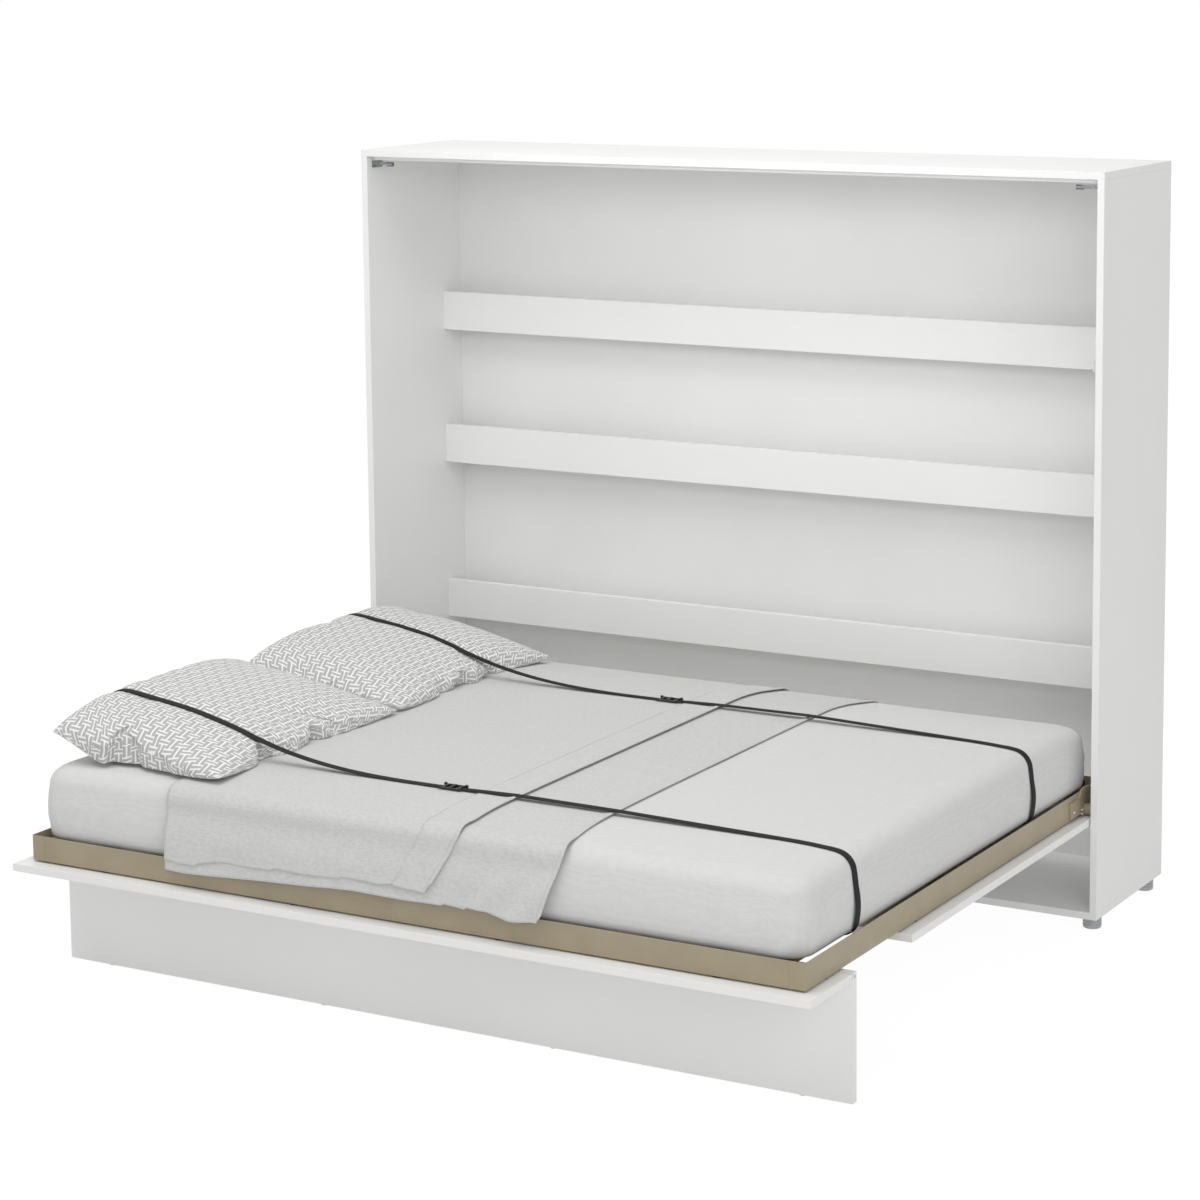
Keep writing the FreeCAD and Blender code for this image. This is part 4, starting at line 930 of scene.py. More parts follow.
# ------------------------------------------------------------------ mattress
@dataclass
class Mattress:
    """Sprung mattress in a stretched cover: crowned top, rounded edges, drawn-in corners."""

    corner: float = 60 * MM
    edge: float = 44 * MM
    bulge: float = 5 * MM
    crown: float = 8 * MM
    crown_reach: float = 200 * MM
    spacing: float = 12 * MM
    arc_end: float = 83.0
    wrinkle: float = 1.6 * MM
    waves: tuple[float, float, float] = (0.075, 0.14, 0.06)
    pinch_reach: float = 0.25
    settle: float = 20 * MM
    settle_reach: float = 330 * MM
    settle_in: float = 1.5
    lip: float = 12 * MM
    points_round: int = 560
    crown_rings: int = 44
    seed: float = 3.1
    low: Vector = field(init=False)
    high: Vector = field(init=False)

    def __post_init__(self) -> None:
        """Take the size from the frame's mattress."""
        self.low, self.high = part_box("mattress")

    @property
    def shoulder(self) -> float:
        """Height where the upright side runs into the rounded edge."""
        return self.high.z - self.crown - self.edge

    @property
    def crown_start(self) -> float:
        """Inset where the rounded edge runs out into the crown."""
        return self.bulge + self.edge * (1 - math.cos(math.radians(self.arc_end)))

    def top_at(self, inset: float) -> float:
        """Height of the top at a distance from the nearest side."""
        start = self.crown_start
        share = min(1.0, max(0.0, (inset - start) / (self.crown_reach - start)))
        return self.high.z - self.crown * (1 - share) ** 2

    def sunk(self, y: np.ndarray) -> np.ndarray:
        """How far the top has settled at y, near the rear edge."""
        return self.settle * smoothstep(self.high.y - self.settle_reach, self.high.y, y)

    def settled(self, points: np.ndarray) -> np.ndarray:
        """Points moved down and inwards where the mattress's rear edge has settled.

        Args:
            points: rows that end in y and z.

        Returns:
            Rows of the same form.
        """
        points = points.copy()
        sunk = self.sunk(points[:, -2])
        points[:, -2] -= self.settle_in * sunk
        points[:, -1] -= sunk * (points[:, -1] - self.low.z) / (self.high.z - self.low.z)
        return points

    def edge_profile(self) -> list[tuple[float, float]]:
        """Section of the side, from the underside to the crown.

        Returns:
            Pairs of inset from the mattress's widest outline, and height.
        """
        low, shoulder = self.low.z, self.shoulder
        profile = [(self.bulge + 14 * MM, low), (self.bulge + 5 * MM, low + 4 * MM)]
        profile.append((self.bulge, low + self.lip))
        count = max(3, int((shoulder - low) / self.spacing))
        for share in (i / count for i in range(1, count)):
            height = low + self.lip + (shoulder - low - self.lip) * share
            profile.append((self.bulge * (1 - math.sin(math.pi * share)), height))
        for i in range(7):
            turn = math.radians(self.arc_end * i / 6)
            inset = self.bulge + self.edge * (1 - math.cos(turn))
            profile.append((inset, shoulder + self.edge * math.sin(turn)))
        return profile

    def outline(self, inset: float, count: int) -> np.ndarray:
        """Evenly numbered points round the mattress at an inset, as x, y rows."""
        radius = max(self.corner - 0.2 * inset, 12 * MM)
        x, y = self.high.x - inset, (self.high.y - self.low.y) / 2 - inset
        middle = (self.high.y + self.low.y) / 2
        points = []
        per_side = count // 4
        corners = [(1, -1, -90), (1, 1, 0), (-1, 1, 90), (-1, -1, 180)]
        arc = per_side // 10
        for i, (sx, sy, start) in enumerate(corners):
            centre = Vector((sx * (x - radius), sy * (y - radius)))
            for k in range(arc):
                turn = math.radians(start + 90 * k / arc)
                points.append((centre.x + radius * math.cos(turn), centre.y + radius * math.sin(turn)))
            nx, ny, _ = corners[(i + 1) % 4]
            ahead = math.radians(start + 90)
            out = Vector((math.cos(ahead), math.sin(ahead))) * radius
            here, there = centre + out, Vector((nx * (x - radius), ny * (y - radius))) + out
            points += [tuple(here.lerp(there, k / (per_side - arc))) for k in range(per_side - arc)]
        return np.array(points) + np.array([0.0, middle])

    def build(self) -> Piece:
        """Build the covered mattress.

        Returns:
            The finished piece.
        """
        count = self.points_round
        half = (self.high.y - self.low.y) / 2
        insets = np.linspace(self.crown_start, half - 30 * MM, self.crown_rings)[1:]
        section = self.edge_profile() + [(inset, self.top_at(inset)) for inset in insets]
        rings = [np.column_stack([self.outline(inset, count), np.full(count, z)]) for inset, z in section]
        last = (len(rings) - 1) * count
        ends = [tuple(range(last, last + count)), tuple(reversed(range(count)))]
        points = self.settled(np.vstack(rings))
        piece = mesh_piece("mattress_in_cover", points, grid_faces(len(rings), count, True) + ends)
        self.wrinkle_cover(piece)
        finish_piece(piece, Slot.MATTRESS, Body.BED)
        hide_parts("mattress")
        return piece

    def wrinkle_cover(self, piece: Piece) -> None:
        """Press soft wrinkles into the cover: broad ones on top, upright ones near the corners."""
        mesh = piece.data
        count = len(mesh.vertices)
        places, normals = np.empty(count * 3), np.empty(count * 3)
        mesh.vertices.foreach_get("co", places)
        mesh.vertices.foreach_get("normal", normals)
        places, normals = places.reshape(-1, 3), normals.reshape(-1, 3)
        on_side = 1 - np.abs(normals[:, 2])
        to_end = (self.high.x - np.abs(places[:, 0])) / self.pinch_reach
        to_long_side = np.minimum(places[:, 1] - self.low.y, self.high.y - places[:, 1]) / self.pinch_reach
        near = np.clip(1 - np.hypot(to_end, to_long_side), 0, 1)
        on_wall, on_top, at_corner = self.waves
        upright = np.array([ripple((x, y, z * 0.35), on_wall, self.seed) for x, y, z in places])
        cross = np.array([ripple((x * 0.6, y, z * 2.0), on_top, self.seed + 5) for x, y, z in places])
        slant = np.array([ripple((x + y, z * 0.8, 0.0), at_corner, self.seed + 9) for x, y, z in places])
        push = 0.7 * upright * on_side + 0.5 * cross * (1 - on_side)
        crease = np.clip(1 - 3.5 * np.abs(slant), 0, 1)
        push += 2.0 * near * (0.7 * upright + 0.8 * slant - 1.1 * crease) * np.maximum(on_side, 0.25)
        push *= self.wrinkle * smoothstep(self.low.z, self.low.z + 0.03, places[:, 2])
        places += normals * (push - 0.3 * self.wrinkle)[:, None]
        mesh.vertices.foreach_set("co", places.ravel())
        mesh.update()


# ------------------------------------------------------------------ top sheet
@dataclass(frozen=True)
class SheetLayer:
    """One layer of the top sheet as it lies on the bed.

    Attributes:
        name: the piece's name.
        node: the frame's node that it stands for.
        lift: height above the mattress.
        right: x of its right edge across the top.
        slant: how far that edge runs back to the head side in the front drape.
        flare: how far it runs out to the foot side near the bed's long sides.
        hem: x and height of points on its front hem, in millimetres.
        sewn: x of the line where its broad hem is sewn down, if it has one.
    """

    name: str
    node: str
    lift: float
    right: float
    slant: float
    flare: float
    hem: tuple
    sewn: float | None = None


# The hems' points are read from the photo, in millimetres along the bed and above the floor.
LOWER_LAYER = SheetLayer(
    name="sheet_lower_layer", node="top_sheet", lift=1.2 * MM, right=408 * MM, slant=54 * MM, flare=26 * MM,
    hem=(
        (-612, 323), (-560, 322), (-480, 325), (-419, 328), (-325, 334), (-198, 341), (-100, 346),
        (37, 345), (105, 346), (146, 346), (153, 350), (212, 344), (218, 350), (280, 349), (286, 345),
        (340, 339), (408, 344),
    ),
)
FOLDED_LAYER = SheetLayer(
    name="sheet_folded_layer", node="top_sheet_fold", lift=3.2 * MM, right=163 * MM, slant=74 * MM,
    flare=8 * MM, sewn=66 * MM,
    hem=(
        (-612, 346), (-568, 343), (-520, 344), (-516, 350), (-454, 362), (-382, 359), (-310, 362),
        (-306, 367), (-225, 366), (-120, 368), (-116, 374), (-44, 373), (20, 371), (64, 377), (68, 374),
        (163, 369),
    ),
)


@dataclass
class TopSheet:
    """Sheet folded double at the head side: a lower layer, and an upper one with a broad hem."""

    mattress: Mattress
    left: float = -612 * MM
    thickness: float = 1.1 * MM
    rear_drop: float = 92 * MM
    bend: float = 24 * MM
    column: float = 9 * MM
    row: float = 6 * MM
    deepest_hem: float = 340 * MM
    hem_allowance: tuple[float, float] = (20 * MM, 40 * MM)
    below_edge: tuple = ((0.0, 60.0), (2.0, 110.0), (3.0, 160.0))
    broad_fold: float = 310 * MM
    tight_fold: float = 105 * MM
    tight_from: float = 80 * MM
    tight_to: float = 360 * MM
    fold_depths: tuple[float, float, float] = (5 * MM, 9 * MM, 4 * MM)
    edge_lift: float = 2.4 * MM
    hem_lift: float = 2.8 * MM
    roll: tuple[float, float] = (4.6 * MM, 2.3 * MM)
    roll_step: float = 7 * MM
    path_step: float = 4 * MM
    bend_turns: tuple[int, ...] = (8, 30, 52, 74)
    soft_swell: float = 0.5 * MM
    soft_patch: float = 0.12
    deepest_dip: float = 0.9 * MM
    seam_valley: float = 2.0 * MM
    seed: float = 11.0

    @property
    def drape_top(self) -> float:
        """Height where the front drape begins."""
        return self.mattress.shoulder + 0.8 * self.mattress.edge

    def on_top(self, z: float) -> float:
        """1 at the height of the mattress's top, easing to 0 below its edge."""
        top = self.mattress.high.z
        return float(smoothstep(top - 60 * MM, top - 20 * MM, z))

    def path(self, lift: float) -> np.ndarray:
        """Line of the sheet across the bed at a height above the mattress, rear edge first.

        Args:
            lift: distance from the mattress's surface.

        Returns:
            Rows of y and z.
        """
        bed = self.mattress
        side = [(i, z) for i, z in bed.edge_profile() if z > bed.low.z + 60 * MM]
        half = (bed.high.y - bed.low.y) / 2
        insets = list(np.linspace(bed.crown_start, half - 10 * MM, 34))[1:]
        line = []
        for inset, height in side + [(i, bed.top_at(i)) for i in insets]:
            slope = min(1.0, max(0.0, 1 - (inset - bed.bulge) / bed.edge))
            line.append((inset - lift * slope, height + lift * (1 - slope ** 2)))
        lowest = bed.high.z - self.rear_drop
        rear = [(bed.high.y + lift, lowest - 20 * MM)] + [(bed.high.y - i, z) for i, z in line if z > lowest]
        level = bed.top_at(0) + lift
        front = [(bed.low.y + i, z) for i, z in reversed(line) if i > bed.crown_start]
        for turn in (math.radians(t) for t in self.bend_turns):
            out, down = self.bend * math.sin(turn), self.bend * (1 - math.cos(turn))
            front.append((bed.low.y + self.bend - lift - out, level - down))
        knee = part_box("frame_rail_front")[0].y - lift - 1.0 * MM
        hang = [(bed.low.y - lift - 1.5 * MM, bed.shoulder - 10 * MM)]
        hang += [(knee - out * MM, bed.shoulder - down * MM) for out, down in self.below_edge]
        return bed.settled(smooth_run(np.array(rear + front + hang), self.path_step))

    def hem_height(self, layer: SheetLayer, x: float) -> float:
        """Height of a layer's front hem at x."""
        places, heights = np.array(layer.hem).T * MM
        return float(np.interp(x, places, heights))

    def drape_fold(self, layer: SheetLayer, x: float, depth: float) -> float:
        """How far the hanging front stands out at x; depth is 0 at the shoulder and 1 at the hem."""
        broad = 0.5 + 0.5 * math.sin(2 * math.pi * (x - 0.02 * depth) / self.broad_fold + 0.6)
        tight = 0.5 + 0.5 * math.sin(2 * math.pi * (x + 0.10 * depth) / self.tight_fold)
        tight *= float(smoothstep(self.tight_from, self.tight_to, x))
        wander = 1 + ripple((x, depth * 0.2, 0.0), 0.16, self.seed + layer.lift)
        out = sum(size * share for size, share in zip(self.fold_depths, (broad, tight, wander)))
        return depth ** 1.3 * out

    def sway(self, layer: SheetLayer, x: float, y: float, depth: float) -> float:
        """How far a point moves along X because the layer's right edge isn't straight.

        Args:
            layer: which layer.
            x: the point's place along X before it moves.
            y: its place along Y.
            depth: how far down the front drape it is, from 0 to 1.

        Returns:
            The distance, towards the foot side where positive.
        """
        bed = self.mattress
        share = float(smoothstep(0.55, 1.0, (x - self.left) / (layer.right - self.left)))
        half = (bed.high.y - bed.low.y) / 2
        off_middle = min(1.0, abs(y - bed.low.y - half) / half)
        return share * (layer.flare * off_middle ** 5 - layer.slant * depth)

    def columns(self, layer: SheetLayer) -> np.ndarray:
        """Places of a layer's columns of points along X, closer together at a sewn line."""
        places = np.linspace(self.left, layer.right, int((layer.right - self.left) / self.column) + 1)
        if layer.sewn is None:
            return places
        near_seam = layer.sewn + np.array([-8, -4, -1.5, 0, 1.5, 4, 8]) * MM
        clear = places[np.abs(places - layer.sewn) > 11 * MM]
        return np.sort(np.concatenate([clear, near_seam]))

    def raised(self, layer: SheetLayer, x: float) -> float:
        """Extra thickness at x: the doubled broad hem with its seam's valley, and the lifted edge."""
        value = self.edge_lift * float(smoothstep(layer.right - 22 * MM, layer.right - 6 * MM, x))
        if layer.sewn is not None:
            value += self.hem_lift * float(smoothstep(layer.sewn, layer.sewn + 4 * MM, x))
            value -= self.seam_valley * math.exp(-((x - layer.sewn) / (3 * MM)) ** 2)
        return value

    def build_layer(self, layer: SheetLayer) -> Piece:
        """Build one layer as a thin closed shell.

        Args:
            layer: which layer.

        Returns:
            The layer's object.
        """
        bed = self.mattress
        line = self.path(layer.lift)
        front_start = int(np.argmax((line[:, 0] < bed.low.y + bed.edge) & (line[:, 1] < self.drape_top)))
        top, drape = line[:front_start:3], line[front_start:]
        run = np.concatenate([[0], np.cumsum(np.hypot(*np.diff(drape, axis=0).T))])
        steps = int((bed.shoulder - self.deepest_hem) / self.row) + 8
        rows = []
        for x in self.columns(layer):
            raised = self.raised(layer, x)
            column = []
            for y, z in top:
                soft = self.soft_swell * (ripple((x, y * 1.4, 0.0), self.soft_patch, self.seed) + 0.6)
                rise = max(-self.deepest_dip, raised + soft) * self.on_top(z)
                column.append((x + self.sway(layer, x, y, 0.0), y, z + rise))
            end = np.interp(-self.hem_height(layer, x), -drape[:, 1], run)
            for depth in np.linspace(0, 1, steps + 1)[1:]:
                y, z = (float(np.interp(end * depth, run, drape[:, k])) for k in (0, 1))
                out = self.drape_fold(layer, x, depth) + raised * depth
                column.append((x + self.sway(layer, x, y, depth), y - out, z + rise * (1 - depth)))
            rows.append(column)
        grid = np.array(rows)
        piece = mesh_piece(layer.name, grid.reshape(-1, 3), grid_faces(grid.shape[0], grid.shape[1]))
        solid = piece.modifiers.new("thickness", "SOLIDIFY")
        solid.thickness = self.thickness
        solid.offset = 1.0
        baked(piece)
        finish_piece(outward(piece), Slot.SHEET, Body.BED)
        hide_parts(layer.node)
        return piece

    def line_along(self, layer: SheetLayer, x: float, rise: float) -> np.ndarray:
        """Line over the bed and down the front that a roll or a seam follows.

        Args:
            layer: the layer that it lies on.
            x: its place across the top.
            rise: its height above the layer.

        Returns:
            Rows of x, y and z.
        """
        bed = self.mattress
        low, raised = self.hem_height(layer, x), self.raised(layer, x)
        line = []
        for y, z in self.path(layer.lift + rise):
            if z < low + 2 * MM and y < 0:
                continue
            in_drape = y < bed.low.y + bed.edge and z < self.drape_top
            depth = min(1.0, (self.drape_top - z) / (self.drape_top - low)) if in_drape else 0.0
            out = self.drape_fold(layer, x, depth) + raised * depth
            rise = raised * self.on_top(z) * (1 - depth)
            line.append((x + self.sway(layer, x, y, depth), y - out, z + rise))
        return smooth_run(np.array(line)[::4], self.roll_step)

    def build(self) -> list[Piece]:
        """Build both layers, their rolled edges and the row of stitches.

        Returns:
            The pieces that straps may lie on.
        """
        lower, upper = self.build_layer(LOWER_LAYER), self.build_layer(FOLDED_LAYER)
        edge, fold = (
            tube(name, self.line_along(layer, layer.right, 0.7 * MM), *self.roll)
            for name, layer in (("sheet_side_hem", LOWER_LAYER), ("sheet_fold_hem", FOLDED_LAYER))
        )
        beside_seam = self.line_along(FOLDED_LAYER, FOLDED_LAYER.sewn + 5 * MM, self.thickness + 0.5 * MM)
        seam = stitch_row("sheet_hem_stitches", beside_seam)
        for piece in (edge, fold, seam):
            finish_piece(piece, Slot.SHEET, Body.BED)
        length = float(np.hypot(*np.diff(self.path(LOWER_LAYER.lift), axis=0).T).sum())
        return [lower, upper]


def tube(name: str, path: np.ndarray, half_width: float, half_height: float) -> Piece:
    """A soft closed roll along a path, wider than it is high.

    Args:
        name: the piece's name.
        path: points along its middle.
        half_width: half its width, along X.
        half_height: half its height.

    Returns:
        The roll's object.
    """
    sides = 10
    tangent = np.gradient(path, axis=0)
    tangent /= np.linalg.norm(tangent, axis=1)[:, None]
    up = np.cross(tangent, np.tile([1.0, 0.0, 0.0], (len(path), 1)))
    up /= np.linalg.norm(up, axis=1)[:, None]
    up[up[:, 2] < 0] *= -1
    across = np.cross(up, tangent)
    points = []
    for i, centre in enumerate(path):
        taper = min(1.0, 0.4 + min(i, len(path) - 1 - i) * 0.3)
        wide, high = across[i] * half_width * taper, up[i] * half_height * taper
        for k in range(sides):
            turn = 2 * math.pi * k / sides
            points.append(centre + wide * math.cos(turn) + high * math.sin(turn))
    last = (len(path) - 1) * sides
    ends = [tuple(range(sides)), tuple(reversed(range(last, last + sides)))]
    return outward(mesh_piece(name, np.array(points), grid_faces(len(path), sides, True) + ends))


def stitch_row(name: str, path: np.ndarray) -> Piece:
    """Stitches set end to end along a path by a Geometry Nodes tree.

    Args:
        name: the piece's name.
        path: points along the seam.

    Returns:
        One mesh of all stitches.
    """
    tree, given = open_tree("stitches_along_seam", {"Pitch": "Float", "Length": "Float", "Thread": "Float"})
    seam = add_node(tree, "GeometryNodeMeshToCurve", {0: given.outputs["Geometry"]})
    places = add_node(
        tree, "GeometryNodeCurveToPoints", {0: seam, "Length": given.outputs["Pitch"]}, mode="LENGTH"
    )
    thread = add_node(
        tree, "GeometryNodeMeshCylinder",
        {"Vertices": 6, "Radius": given.outputs["Thread"], "Depth": given.outputs["Length"]},
    )
    stitches = add_node(
        tree, "GeometryNodeInstanceOnPoints",
        {"Points": places.outputs["Points"], "Instance": thread.outputs["Mesh"],
         "Rotation": places.outputs["Rotation"]},
    )
    sizes = {"Pitch": 5 * MM, "Length": 3.4 * MM, "Thread": 0.45 * MM}
    return run_tree(line_piece(name, path), close_tree(tree, given, stitches), Slot.SHEET, sizes)


# ------------------------------------------------------------------ pillows
CASE_CLOTH = {
    "quality": 7, "mass": 0.25, "tension_stiffness": 25, "compression_stiffness": 12, "shear_stiffness": 6,
    "bending_stiffness": 0.6, "tension_damping": 10, "compression_damping": 10, "air_damping": 3,
    "use_pressure": True,
}


@dataclass
class Pillow:
    """Stuffed pillow: a flat case of two sheets, blown up as cloth and set down on the bedding."""

    side: Side
    mattress: Mattress
    flat_width: float = 560 * MM
    flat_length: float = 800 * MM
    cell: float = 12.5 * MM
    pressure: float = 4.0
    frames: int = 26
    lean: float = 42 * MM
    under_share: float = 0.5
    draw_in: float = 13 * MM
    plainness: float = 0.66
    swell_powers: tuple[float, float, float] = (2.3, 4.5, 0.62)
    top_shares: tuple[float, float] = (0.72, 0.42)
    seam_shares: tuple[float, float] = (0.09, 0.5)
    seed: float = 1.0
    quick_height: float = 80 * MM
    dent: float = 7 * MM
    dent_reach: float = 90 * MM
    pleat: float = 1.5 * MM
    grids: dict = field(default_factory=dict)

    @property
    def node(self) -> str:
        """Name of the pillow's node in the frame."""
        return "pillow_" + self.side.value

    def flat_case(self) -> Piece:
        """Two flat sheets joined at their edges.

        Returns:
            The flat case, centred on the origin.
        """
        nx, ny = int(self.flat_width / self.cell), int(self.flat_length / self.cell)
        xs = np.linspace(-self.flat_width / 2, self.flat_width / 2, nx + 1)
        ys = np.linspace(-self.flat_length / 2, self.flat_length / 2, ny + 1)
        points, number = [], {}
        for layer in (1, -1):
            for i, x in enumerate(xs):
                for j, y in enumerate(ys):
                    rim = i in (0, nx) or j in (0, ny)
                    if rim and layer < 0:
                        number[(layer, i, j)] = number[(1, i, j)]
                        continue
                    bow = 0 if rim else layer * 2 * MM
                    number[(layer, i, j)] = len(points)
                    wave = 0 if rim else 1.5 * MM * ripple((x, y, layer), 0.09, self.seed)
                    points.append((x, y, bow + wave))
        faces = []
        for layer in (1, -1):
            for i in range(nx):
                for j in range(ny):
                    corners = [(i, j), (i + 1, j), (i + 1, j + 1), (i, j + 1)]
                    quad = tuple(number[(layer, a, b)] for a, b in corners)
                    faces.append(quad if layer > 0 else quad[::-1])
        self.grids = {
            layer: np.array([[number[(layer, i, j)] for j in range(ny + 1)] for i in range(nx + 1)])
            for layer in (1, -1)
        }
        return mesh_piece(self.node + "_case", np.array(points), faces)

    def chart(self, piece: Piece) -> None:
        """Give each sheet of the case UVs in metres, measured along its own threads."""
        mesh = piece.data
        points = np.array([v.co for v in mesh.vertices])
        layer_uv = mesh.uv_layers.new(name="case")
        values = []
        for layer, grid in self.grids.items():
            places = points[grid]
            run = []
            for axis in (0, 1):
                steps = np.linalg.norm(np.diff(places, axis=axis), axis=2)
                pad = ((1, 0), (0, 0)) if axis == 0 else ((0, 0), (1, 0))
                total = np.pad(np.cumsum(steps, axis=axis), pad)
                middle = np.take(total, [grid.shape[axis] // 2], axis=axis)
                run.append(total - middle)
            uv = np.stack(run, axis=2)
            quads = np.stack([uv[:-1, :-1], uv[1:, :-1], uv[1:, 1:], uv[:-1, 1:]], axis=2)
            values.append(quads if layer > 0 else quads[:, :, ::-1])
        flat = np.concatenate([v.reshape(-1, 2) for v in values])
        layer_uv.data.foreach_set("uv", flat.ravel())

    def inflate(self, piece: Piece) -> None:
        scene = bpy.context.scene
        cloth = piece.modifiers.new("stuffing", "CLOTH")
        settings = cloth.settings
        for name, value in CASE_CLOTH.items():
            setattr(settings, name, value)
        settings.uniform_pressure_force = self.pressure
        settings.effector_weights.gravity = 0
        cloth.collision_settings.use_collision = False
        cloth.point_cache.frame_start = 1
        cloth.point_cache.frame_end = self.frames
        for number in range(1, self.frames + 1):
            scene.frame_set(number)
        baked(piece)
        scene.frame_set(1)

    def straighten(self, points: np.ndarray) -> np.ndarray:
        """Let the sides out again, which the stuffing drew in, but for a little at their middles.

        Args:
            points: the blown-up case, centred on the origin.

        Returns:
            The points with an almost rectangular outline.
        """
        full = np.array([self.flat_width, self.flat_length]) / 2
        places = np.linspace(-1, 1, 33)
        for axis, across in ((0, 1), (1, 0), (0, 1)):
            along = points[:, across] / np.abs(points[:, across]).max()
            reach = np.abs(points[:, axis])
            edge = np.array([reach[np.abs(along - p) < 0.05].max() for p in places])
            wanted = full[axis] - self.draw_in * np.cos(places * math.pi / 2)
            points[:, axis] *= np.interp(along, places, wanted / edge)
        return points

    def seat(self, piece: Piece) -> None:
        """Flatten the underside, move the crown towards the head and fit the pillow in its place."""
        low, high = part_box(self.node)
        mesh = piece.data
        points = self.straighten(np.array([v.co for v in mesh.vertices]))
        u = np.clip(points[:, 0] / np.abs(points[:, 0]).max(), -1, 1)
        v = np.clip(points[:, 1] / np.abs(points[:, 1]).max(), -1, 1)
        upper = points[:, 2] >= 0
        height = np.abs(points[:, 2]).max()
        across, along, whole = self.swell_powers
        plain = height * ((1 - np.abs(u) ** across) * (1 - np.abs(v) ** along)) ** whole
        blown = np.abs(points[:, 2])
        rise = np.where(blown < 1e-6, 0, (1 - self.plainness) * blown + self.plainness * plain)
        least, more = self.top_shares
        rise *= np.where(upper, least + more * smoothstep(-1.0, 0.9, -u), self.under_share)
        crowned = np.clip(1 - u ** 2, 0, 1) * np.clip(1 - v ** 4, 0, 1)
        points[:, 0] -= self.lean * crowned
        least, more = self.seam_shares
        seam_lift = height * (least + more * smoothstep(0.25, 1.05, -u))
        points[:, 2] = np.maximum(seam_lift + np.where(upper, rise, -rise), 0)
        size = np.array(high - low)
        first, last = points.min(axis=0), points.max(axis=0)
        points = (points - first) / (last - first) * size + np.array(low)
        points[:, 2] -= self.mattress.sunk(points[:, 1])
        mesh.vertices.foreach_set("co", points.ravel())
        mesh.update()

    def press_strap(self, piece: Piece, y: float, width: float) -> None:
        """Dent the top where the strap lies on it.

        Args:
            piece: the seated pillow.
            y: the strap's middle.
            width: its width.
        """
        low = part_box(self.node)[0]
        for vertex in piece.data.vertices:
            away = abs(vertex.co.y - y)
            if away > self.dent_reach:
                continue
            above = smoothstep(low.z + 0.03, low.z + 0.09, vertex.co.z)
            dent = self.dent * math.exp(-((away / (1.3 * width)) ** 2))
            pleat = self.pleat * ripple((vertex.co.x, vertex.co.y * 0.4, 0), 0.03, self.seed + 4)
            vertex.co.z -= float(above) * (dent + pleat * math.exp(-((away / (50 * MM)) ** 2)))
        piece.data.update()

    def build(self, strap_y: float, strap_width: float) -> Piece:
        """Build the pillow.

        Args:
            strap_y: middle of the strap over it.
            strap_width: the strap's width.

        Returns:
            The finished piece.
        """
        piece = self.flat_case()
        self.inflate(piece)
        self.seat(piece)
        self.chart(piece)
        smooth = piece.modifiers.new("smooth", "SUBSURF")
        smooth.levels = smooth.render_levels = 1
        baked(piece)
        self.press_strap(piece, strap_y, strap_width)
        piece.name = self.node + "_stuffed"
        finish_piece(piece, Slot.PILLOW, Body.BED)
        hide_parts(self.node)
        return piece


